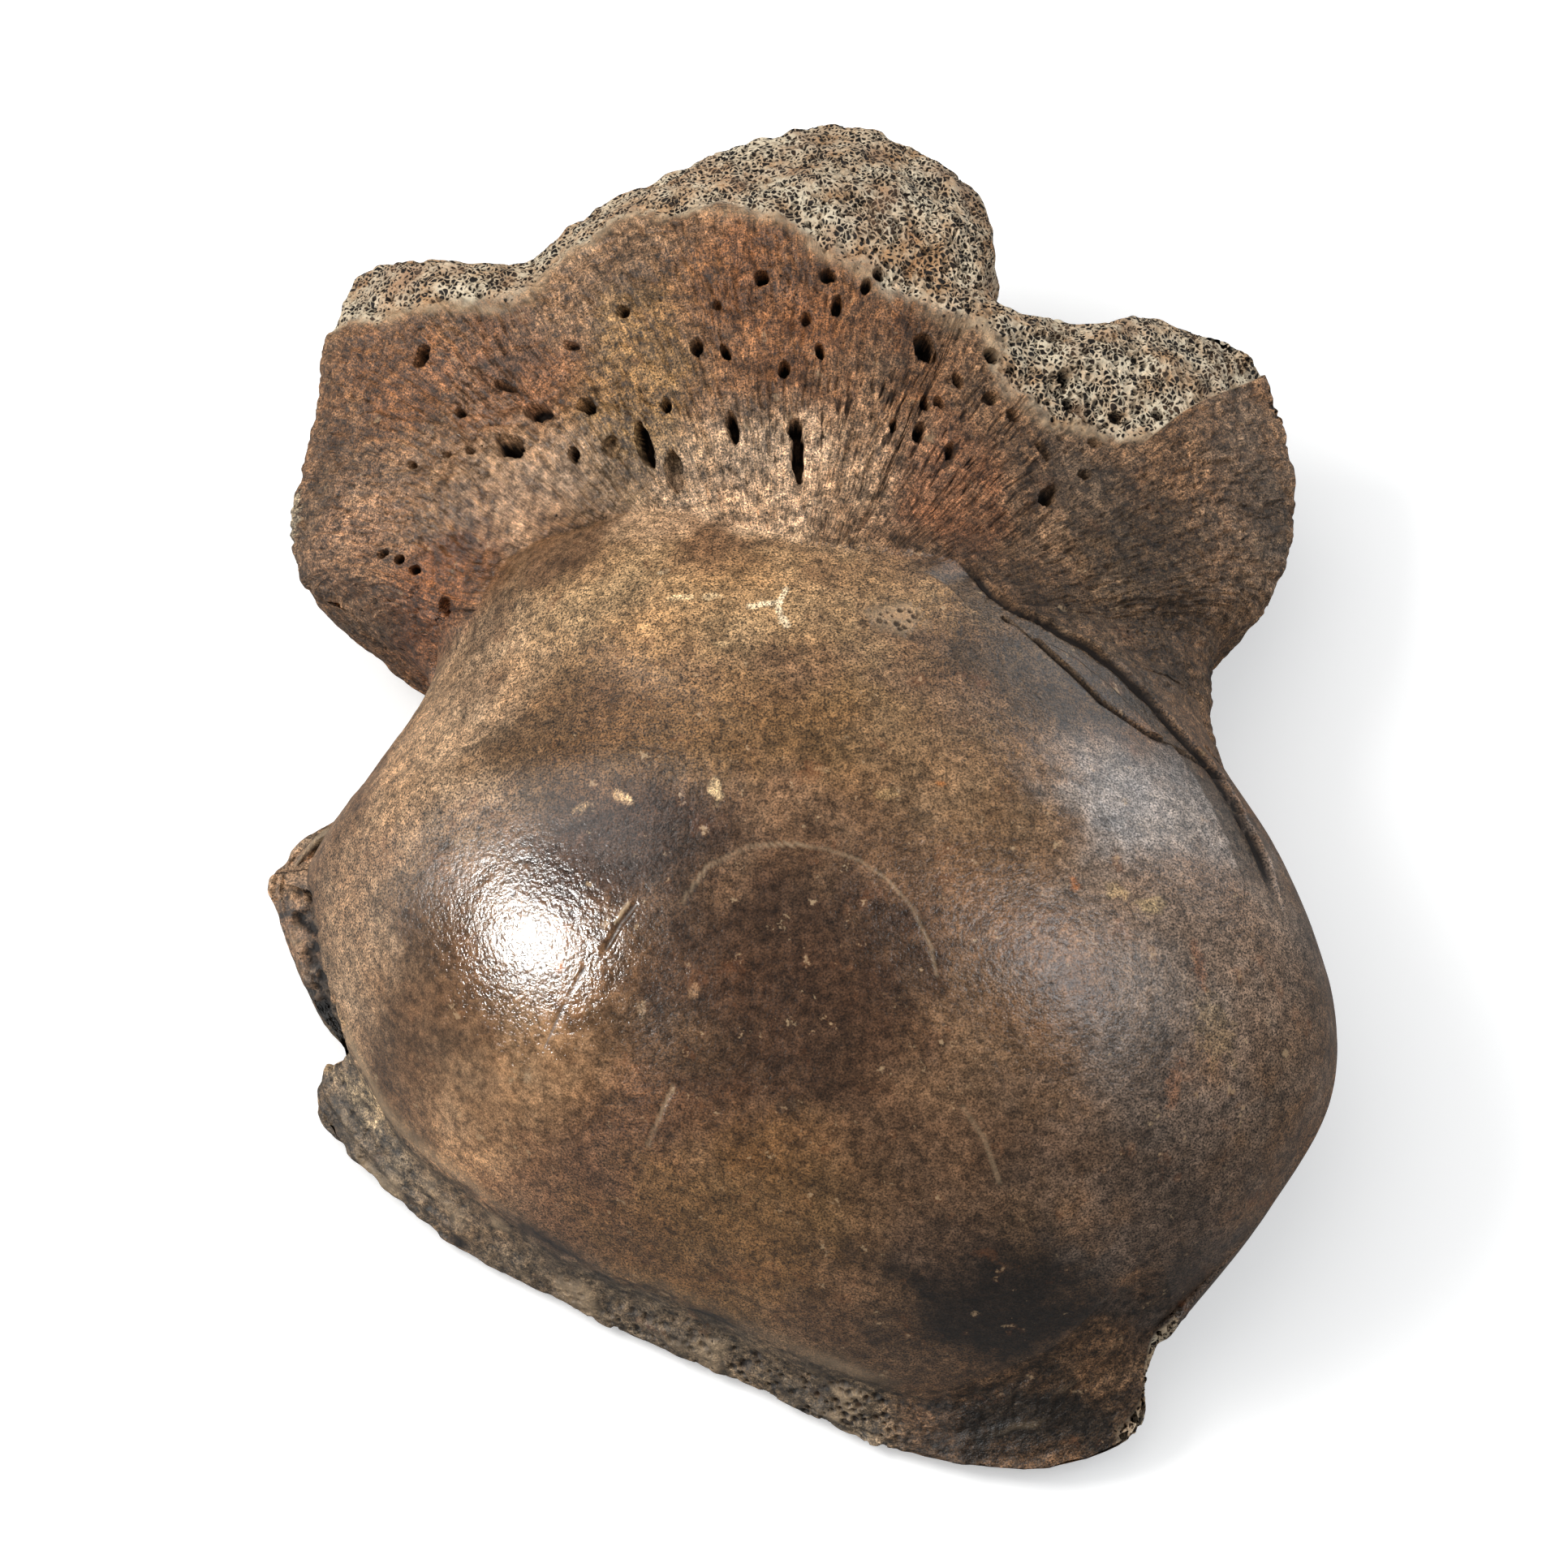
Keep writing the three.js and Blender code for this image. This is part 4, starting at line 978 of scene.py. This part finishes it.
def feed(tree, socket, value):
    """Link an input to another node's socket, or give it a value."""
    if isinstance(value, bpy.types.NodeSocket):
        tree.links.new(value, socket)
    else:
        socket.default_value = value


def add_node(tree, kind, inputs=None, **settings):
    """A new node with its settings, and each input linked to a socket or given a value."""
    made = tree.nodes.new(kind)
    for name, value in settings.items():
        setattr(made, name, value)
    for name, value in (inputs or {}).items():
        feed(tree, made.inputs[name], value)
    return made


def new_group(name, strengths, outputs):
    """An empty shader node group with its end nodes' sockets. Its inputs are a colour and the
    named strengths, and its outputs a colour and the named numbers."""
    tree = bpy.data.node_groups.new(name, "ShaderNodeTree")
    kinds = {"Colour": "NodeSocketColor"}
    for label, value in {"Colour": UNLINKED_COLOUR, **strengths}.items():
        socket = tree.interface.new_socket(
            label, in_out="INPUT", socket_type=kinds.get(label, "NodeSocketFloat"))
        socket.default_value = value
    for label in ("Colour", *outputs):
        tree.interface.new_socket(
            label, in_out="OUTPUT", socket_type=kinds.get(label, "NodeSocketFloat"))
    return tree, tree.nodes.new("NodeGroupInput").outputs, tree.nodes.new("NodeGroupOutput").inputs


def noise(tree, vector, scale, detail=4, roughness=0.6):
    """Fractal noise on a vector, as its value socket."""
    return add_node(tree, "ShaderNodeTexNoise", {
        "Vector": vector, "Scale": scale, "Detail": detail, "Roughness": roughness,
    }).outputs[0]


def spread(tree, value, low, high, to_low=0.0, to_high=1.0):
    """A value stretched from low and high to two others, and kept between them."""
    return add_node(tree, "ShaderNodeMapRange", {
        "Value": value, "From Min": low, "From Max": high, "To Min": to_low, "To Max": to_high,
    }).outputs[0]


def maths(tree, operation, one, other=0.0):
    """The result of a sum of two numbers."""
    return add_node(
        tree, "ShaderNodeMath", {0: one, 1: other}, operation=operation).outputs[0]


def plus(tree, one, other):
    """Two numbers added."""
    return maths(tree, "ADD", one, other)


def times(tree, one, other):
    """Two numbers multiplied."""
    return maths(tree, "MULTIPLY", one, other)


def blend_colours(tree, share, one, other, way="MIX"):
    """One colour blended towards another by a share."""
    return add_node(tree, "ShaderNodeMix", {0: share, 6: one, 7: other},
                    data_type="RGBA", blend_type=way).outputs[2]


def tinted(tree, colour, factor):
    """A colour multiplied by a factor or by another colour."""
    return blend_colours(tree, 1, colour, factor, "MULTIPLY")


def shade(colour):
    """A 0 to 255 screen colour as a socket value."""
    return (*linear(colour), 1)


def mask_of(tree, name):
    """One of the skin's masks as a value socket."""
    return add_node(tree, "ShaderNodeAttribute", attribute_name=name).outputs["Fac"]


def swing(tree, value, low, high, strength):
    """A factor round 1: the value stretched from low and high to -1 and 1, times a strength."""
    return plus(tree, times(tree, spread(tree, value, low, high, -1, 1), strength), 1)


def make_mottle_group():
    """Colour that wanders from broad patches to fine stipple, each step a factor round 1, with
    warmer and cooler places, rusty and pale flecks and dark specks, and a height for bumps."""
    tree, given, out = new_group("Bone Mottle", {
        "Patches": 0.5, "Grit": 0.5, "Stipple": 0.5, "Flecks": 0.5}, ["Height"])
    places = add_node(tree, "ShaderNodeTexCoord").outputs["Object"]
    grit = noise(tree, places, 420, 4, 0.7)
    stipple = noise(tree, places, 2300, 2, 0.6)
    factor = swing(tree, noise(tree, places, 52, 5, 0.7), 0.36, 0.64, given["Patches"])
    factor = times(tree, factor, swing(tree, grit, 0.36, 0.64, given["Grit"]))
    factor = times(tree, factor, swing(tree, stipple, 0.36, 0.64, given["Stipple"]))
    warmth = spread(tree, noise(tree, places, 38, 4, 0.68), 0.38, 0.62)
    hue = blend_colours(tree, warmth, COOLER, WARMER)
    colour = tinted(tree, tinted(tree, given["Colour"], hue), factor)
    for scale, low, high, share, fleck in FLECKS:
        here = spread(tree, noise(tree, places, scale, 4, 0.7), low, high)
        here = times(tree, here, times(tree, given["Flecks"], share))
        colour = blend_colours(tree, here, colour, shade(fleck))
    skin_noise = noise(tree, places, 800, 3, 0.58)
    feed(tree, out["Colour"], colour)
    feed(tree, out["Height"], plus(tree, times(tree, grit, 0.5), times(tree, skin_noise, 0.5)))
    return tree


def make_fibre_group():
    """Fine streaks along the grain: dark and light threads, and a height for the bump."""
    tree, given, out = new_group("Bone Fibre", {"Strength": 0.5}, ["Height"])
    grain = add_node(tree, "ShaderNodeUVMap", uv_map="Grain").outputs[0]
    colour = given["Colour"]
    threads = []
    for across, along in THREADS:
        stretched = add_node(tree, "ShaderNodeMapping", {
            "Vector": grain, "Scale": (across, along, 1)}).outputs[0]
        threads.append(noise(tree, stretched, 1, 4, 0.65))
        contrast = times(tree, given["Strength"], 0.42)
        colour = tinted(tree, colour, swing(tree, threads[-1], 0.34, 0.66, contrast))
    height = times(tree, plus(tree, *threads), 0.5)
    feed(tree, out["Colour"], colour)
    feed(tree, out["Height"], times(tree, height, given["Strength"]))
    return tree


def make_sponge_group():
    """Open spongy bone: a lace of cream struts round uneven pores painted dark as painted shade,
    some filled with hardened mud, and painted shade in every hole. Roughness and a height for the
    bump go with it."""
    tree, given, out = new_group(
        "Bone Sponge", {"Sponge": 0.0, "Recess Shade": 0.0}, ["Roughness", "Height"])
    places = add_node(tree, "ShaderNodeTexCoord").outputs["Object"]
    stirred = add_node(tree, "ShaderNodeTexNoise", {
        "Vector": places, "Scale": 420, "Detail": 1}).outputs[1]
    stirred = add_node(tree, "ShaderNodeVectorMath", {0: stirred, "Scale": 0.0018},
                       operation="SCALE").outputs[0]
    bent = add_node(tree, "ShaderNodeVectorMath", {0: places, 1: stirred}).outputs[0]
    away = add_node(tree, "ShaderNodeTexVoronoi", {"Vector": bent, "Scale": 740},
                    feature="DISTANCE_TO_EDGE").outputs[0]
    shut = spread(tree, given["Sponge"], 0, 1, 0.32, 0)
    uneven = spread(tree, noise(tree, places, 250, 3, 0.65), 0.34, 0.66, -0.1, 0.1)
    away = maths(tree, "SUBTRACT", maths(tree, "SUBTRACT", away, shut), uneven)
    pore = spread(tree, away, 0.12, 0.23)
    crust = spread(tree, noise(tree, places, 110, 4, 0.7), 0.34, 0.6)
    strut = blend_colours(tree, crust, shade(STRUT_TAN), shade(STRUT_CREAM))
    rust = spread(tree, noise(tree, places, 64, 3, 0.6), 0.5, 0.68, 0, 0.6)
    strut = blend_colours(tree, rust, strut, shade(STRUT_RUST))
    strut = blend_colours(tree, 0.34, strut, given["Colour"])
    strut = blend_colours(tree, given["Sponge"], given["Colour"], strut)
    # The pores' dark colour is painted shade; the mud colour is mud that fills some of them.
    mud = spread(tree, noise(tree, places, 130, 4, 0.65), 0.52, 0.66)
    inside = blend_colours(tree, mud, shade(PORE_SHADE), shade(PORE_MUD))
    colour = blend_colours(tree, pore, strut, inside)
    # Painted shade in the skin's holes and creases, from their mask.
    deep = spread(tree, given["Recess Shade"], *RECESS_SHADE_RANGE)
    feed(tree, out["Colour"], blend_colours(tree, deep, colour, inside))
    feed(tree, out["Roughness"], spread(tree, plus(tree, given["Sponge"], deep), 0, 1))
    feed(tree, out["Height"], times(tree, pore, -1))
    return tree


def make_hollow_group():
    """Painted shade in holes and cracks where the skin itself is smooth, which are also dull."""
    tree, given, out = new_group("Bone Hollow Shade", {"Recess Shade": 0.0}, ["Roughness"])
    deep = spread(tree, given["Recess Shade"], *RECESS_SHADE_RANGE)
    feed(tree, out["Colour"], blend_colours(tree, deep, given["Colour"], shade(HOLLOW_SHADE)))
    feed(tree, out["Roughness"], deep)
    return tree


def place_group(tree, group, inputs):
    """A shader group placed in a material with its own values."""
    return add_node(tree, "ShaderNodeGroup", inputs, node_tree=group).outputs


def make_finish(name, groups, values):
    """A bone finish: the tint, mottled, streaked along the grain, and opened into sponge and holes
    by the skin's masks, with painted shade in the holes. Values give its strengths, its shine and
    its bump."""
    finish = bpy.data.materials.new(name)
    finish.use_nodes = True
    tree = finish.node_tree
    surface = tree.nodes["Principled BSDF"].inputs
    gloss = mask_of(tree, "gloss")
    tint = add_node(tree, "ShaderNodeAttribute", attribute_name="tint").outputs["Color"]
    strip = times(tree, mask_of(tree, "strip"), STRIP_SHARE)
    tint = blend_colours(tree, strip, tint, shade(STRIP_BROWN))
    mottle = place_group(tree, groups["mottle"], {
        "Colour": tint, "Patches": values["patches"], "Grit": values["grit"],
        "Stipple": spread(tree, gloss, 0, 1, values["stipple"], 0.4 * values["stipple"]),
        "Flecks": values["flecks"]})
    fibre = place_group(tree, groups["fibre"], {
        "Colour": mottle["Colour"],
        "Strength": times(tree, mask_of(tree, "fibre"), values["threads"])})
    pale = blend_colours(tree, times(tree, mask_of(tree, "pale"), PALE_SHARE),
                         fibre["Colour"], shade(PALE_CREAM))
    # The skin's mask of painted shade in holes and creases.
    given = {"Colour": pale, "Recess Shade": mask_of(tree, "recess_shade")}
    if values["spongy"]:
        given["Sponge"] = mask_of(tree, "sponge")
    sponge = place_group(tree, groups["sponge" if values["spongy"] else "hollow"], given)
    feed(tree, surface["Base Color"], sponge["Colour"])
    shine = spread(tree, gloss, 0, 1, *values["shine"])
    shine = plus(tree, shine, spread(tree, mottle["Height"], 0.3, 0.7, -0.05, 0.08))
    rough = add_node(tree, "ShaderNodeMix", {
        "Factor": sponge["Roughness"], "A": shine, "B": HOLE_ROUGHNESS}).outputs[0]
    feed(tree, surface["Roughness"], rough)
    height = plus(tree, times(tree, mottle["Height"], values["bumps"]),
                  times(tree, fibre["Height"], values["weave"]))
    if values["spongy"]:
        height = plus(tree, height, times(tree, sponge["Height"], PORE_BUMP))
    bump = add_node(tree, "ShaderNodeBump", {
        "Strength": 1.0, "Distance": MM, "Height": height})
    feed(tree, surface["Normal"], bump.outputs[0])
    surface["Specular IOR Level"].default_value = values["specular"]
    return finish


def make_finishes():
    """The finishes of the joint ball, the foot, the crest, and the rim and underside."""
    groups = {"mottle": make_mottle_group(), "fibre": make_fibre_group(),
              "sponge": make_sponge_group(), "hollow": make_hollow_group()}
    return {part: make_finish(name, groups, values)
            for part, (name, values) in FINISHES.items()}


def even_rows(first, last, count):
    """Rows from first to last, evenly spread."""
    return np.linspace(first, last, count + 1)


MOST_TRIANGLES = 190000
CREST_STEP = 0.44       # millimetres between columns on the widest line
# Pieces round the ball: name, named parts of the widest line where each begins and ends, step
# between columns, rows of its strip, rows of its side, finish.
WEDGES = [
    ("right_lobe", "right waist", "notch", CREST_STEP, 250, 130, "crest"),
    ("notch", "notch", "middle lobe", CREST_STEP, 270, 130, "crest"),
    ("middle_lobe", "middle lobe", "left lobe", CREST_STEP, 300, 140, "crest"),
    ("left_lobe", "left lobe", "left lobe corner", CREST_STEP, 250, 130, "crest"),
    ("left_waist", "left lobe corner", "rim knob", CREST_STEP, 130, 90, "crest"),
    ("rim", "rim knob", "rim foot", 0.45, 64, 50, "rim"),
    ("rim_foot", "rim foot", "ball side", 0.45, 64, 64, "foot"),
]


def make_bone(finishes):
    """Every piece of the bone: the ball's crown and flank, the wedges round it, each as a
    strip and a side, and the underside."""
    ball, rim = finishes["ball"], finishes["rim"]
    make_piece("ball_crown", (0, 1), even_rows(0.008, 0.5, 86), 620, ball)
    for half in range(2):
        make_piece(f"ball_flank_{half}", (half / 2, (half + 1) / 2), even_rows(0.5, 1, 90), 640,
                   ball)
    for name, first, last, step, strip, side, finish in WEDGES:
        span = (start_of(first), start_of(last))
        columns = math.ceil((span[1] - span[0]) * LINE_LENGTH / step)
        parts = math.ceil(columns * strip * 2 / MOST_TRIANGLES)
        for part in range(parts):
            ends = (mix(*span, part / parts), mix(*span, (part + 1) / parts))
            make_piece(f"{name}_top_{part}", ends, even_rows(1, 2, strip),
                       math.ceil(columns / parts), finishes[finish])
        make_piece(f"{name}_side", span, even_rows(2, 3, side), columns, finishes[finish])
    make_piece("ball_side", (start_of("ball side"), 1), even_rows(1, 3, 110), 480, ball)
    make_piece("underside", (0, 1), even_rows(3, 3.985, 90), 900, rim)


def make_camera():
    """The photograph's view: from the front and well above, as far off as a studio camera."""
    aim = Vector((-2, -6, 55)) * MM
    lift = math.radians(68)
    away = 1.45
    frame_width = 0.3516            # what the frame's width takes in at the aim
    sensor_width = 36
    camera = bpy.data.objects.new("Camera", bpy.data.cameras.new("Camera"))
    camera.data.sensor_width = sensor_width
    camera.data.lens = sensor_width * away / frame_width
    camera.location = aim + Vector((0, -math.cos(lift), math.sin(lift))) * away
    camera.rotation_euler = (math.pi / 2 - lift, 0, 0)
    bpy.context.scene.collection.objects.link(camera)
    bpy.context.scene.camera = camera


BONE_MIDDLE = Vector((0, 0, 0.06))
FLOOR = {"half size": 4.0, "colour": (0.3, 0.3, 0.3), "seen colour": (0.84, 0.84, 0.84),
         "roughness": 0.9, "specular": 0.1, "seen glow": 0.34}
ROOM_STRENGTH = 0.26
WHITE, COOL = (1, 0.99, 0.97), (0.9, 0.95, 1)
# Lights: name, direction from the bone's middle, distance, size, power, colour, only gleams.
LIGHTS = [
    ("Key", (-0.62, 0.1, 0.78), 1.3, 0.45, 8, WHITE, False),
    ("Soft top", (-0.36, 0.08, 0.93), 1.4, 1.7, 12.5, WHITE, False),
    ("Right fill", (0.5, -0.2, 0.84), 1.4, 0.8, 4.5, COOL, False),
    ("Back right", (0.69, 0.69, 0.25), 1.4, 0.5, 2.5, COOL, False),
    ("Key gleam", (-0.87, -0.36, 0.34), 1.2, 0.25, 24, WHITE, True),
    ("Left gleam", (-0.67, 0.18, 0.72), 1.2, 0.24, 4, WHITE, True),
    ("Right sheen", (0.5, -0.24, 0.82), 1.4, 0.45, 7, COOL, True),
    ("Back sheen", (0.69, 0.69, 0.22), 1.4, 0.5, 6.5, COOL, True),
]


def make_light(name, direction, away, size, power, colour, gleam):
    """A square soft light that faces the bone's middle from a direction. One kind lights it
    without a reflection, and the other only gleams in its gloss."""
    lamp = bpy.data.lights.new(name, "AREA")
    lamp.shape = "SQUARE"
    lamp.size = size
    lamp.energy = power
    lamp.color = colour
    light = bpy.data.objects.new(name, lamp)
    towards = Vector(direction).normalized()
    light.visible_glossy = gleam
    light.visible_diffuse = not gleam
    light.location = BONE_MIDDLE + towards * away
    light.rotation_euler = towards.to_track_quat("Z", "Y").to_euler()
    bpy.context.scene.collection.objects.link(light)


def make_floor():
    """A pale floor that looks a little paler to the camera than it is, like lit paper."""
    size = FLOOR["half size"]
    mesh = bpy.data.meshes.new("floor")
    mesh.from_pydata([(-size, -size, 0), (size, -size, 0), (size, size, 0), (-size, size, 0)],
                     [], [(0, 1, 2, 3)])
    floor = bpy.data.objects.new("floor", mesh)
    bpy.context.scene.collection.objects.link(floor)
    paper = bpy.data.materials.new("Pale floor")
    paper.use_nodes = True
    tree = paper.node_tree
    surface = tree.nodes["Principled BSDF"].inputs
    seen = add_node(tree, "ShaderNodeLightPath").outputs["Is Camera Ray"]
    feed(tree, surface["Base Color"], blend_colours(
        tree, seen, (*FLOOR["colour"], 1), (*FLOOR["seen colour"], 1)))
    surface["Roughness"].default_value = FLOOR["roughness"]
    surface["Specular IOR Level"].default_value = FLOOR["specular"]
    surface["Emission Color"].default_value = (1, 1, 1, 1)
    feed(tree, surface["Emission Strength"], times(tree, seen, FLOOR["seen glow"]))
    mesh.materials.append(paper)


def make_studio():
    """The floor, a white room that lights little, and the soft lights."""
    make_floor()
    world = bpy.data.worlds.new("Studio")
    bpy.context.scene.world = world
    world.use_nodes = True
    tree = world.node_tree
    backdrop = tree.nodes["Background"].inputs
    seen = add_node(tree, "ShaderNodeLightPath").outputs["Is Camera Ray"]
    feed(tree, backdrop["Strength"], spread(tree, seen, 0, 1, ROOM_STRENGTH, 1))
    backdrop["Color"].default_value = (1, 1, 1, 1)
    for light in LIGHTS:
        make_light(*light)
    bpy.context.scene.view_settings.view_transform = "Standard"


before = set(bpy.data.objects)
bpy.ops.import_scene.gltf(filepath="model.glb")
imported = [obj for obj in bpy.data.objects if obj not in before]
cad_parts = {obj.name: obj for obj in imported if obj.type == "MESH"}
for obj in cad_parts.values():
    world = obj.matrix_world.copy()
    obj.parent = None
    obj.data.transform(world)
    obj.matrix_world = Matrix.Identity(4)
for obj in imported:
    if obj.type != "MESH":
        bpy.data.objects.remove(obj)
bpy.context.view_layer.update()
make_camera()
make_studio()
make_bone(make_finishes())
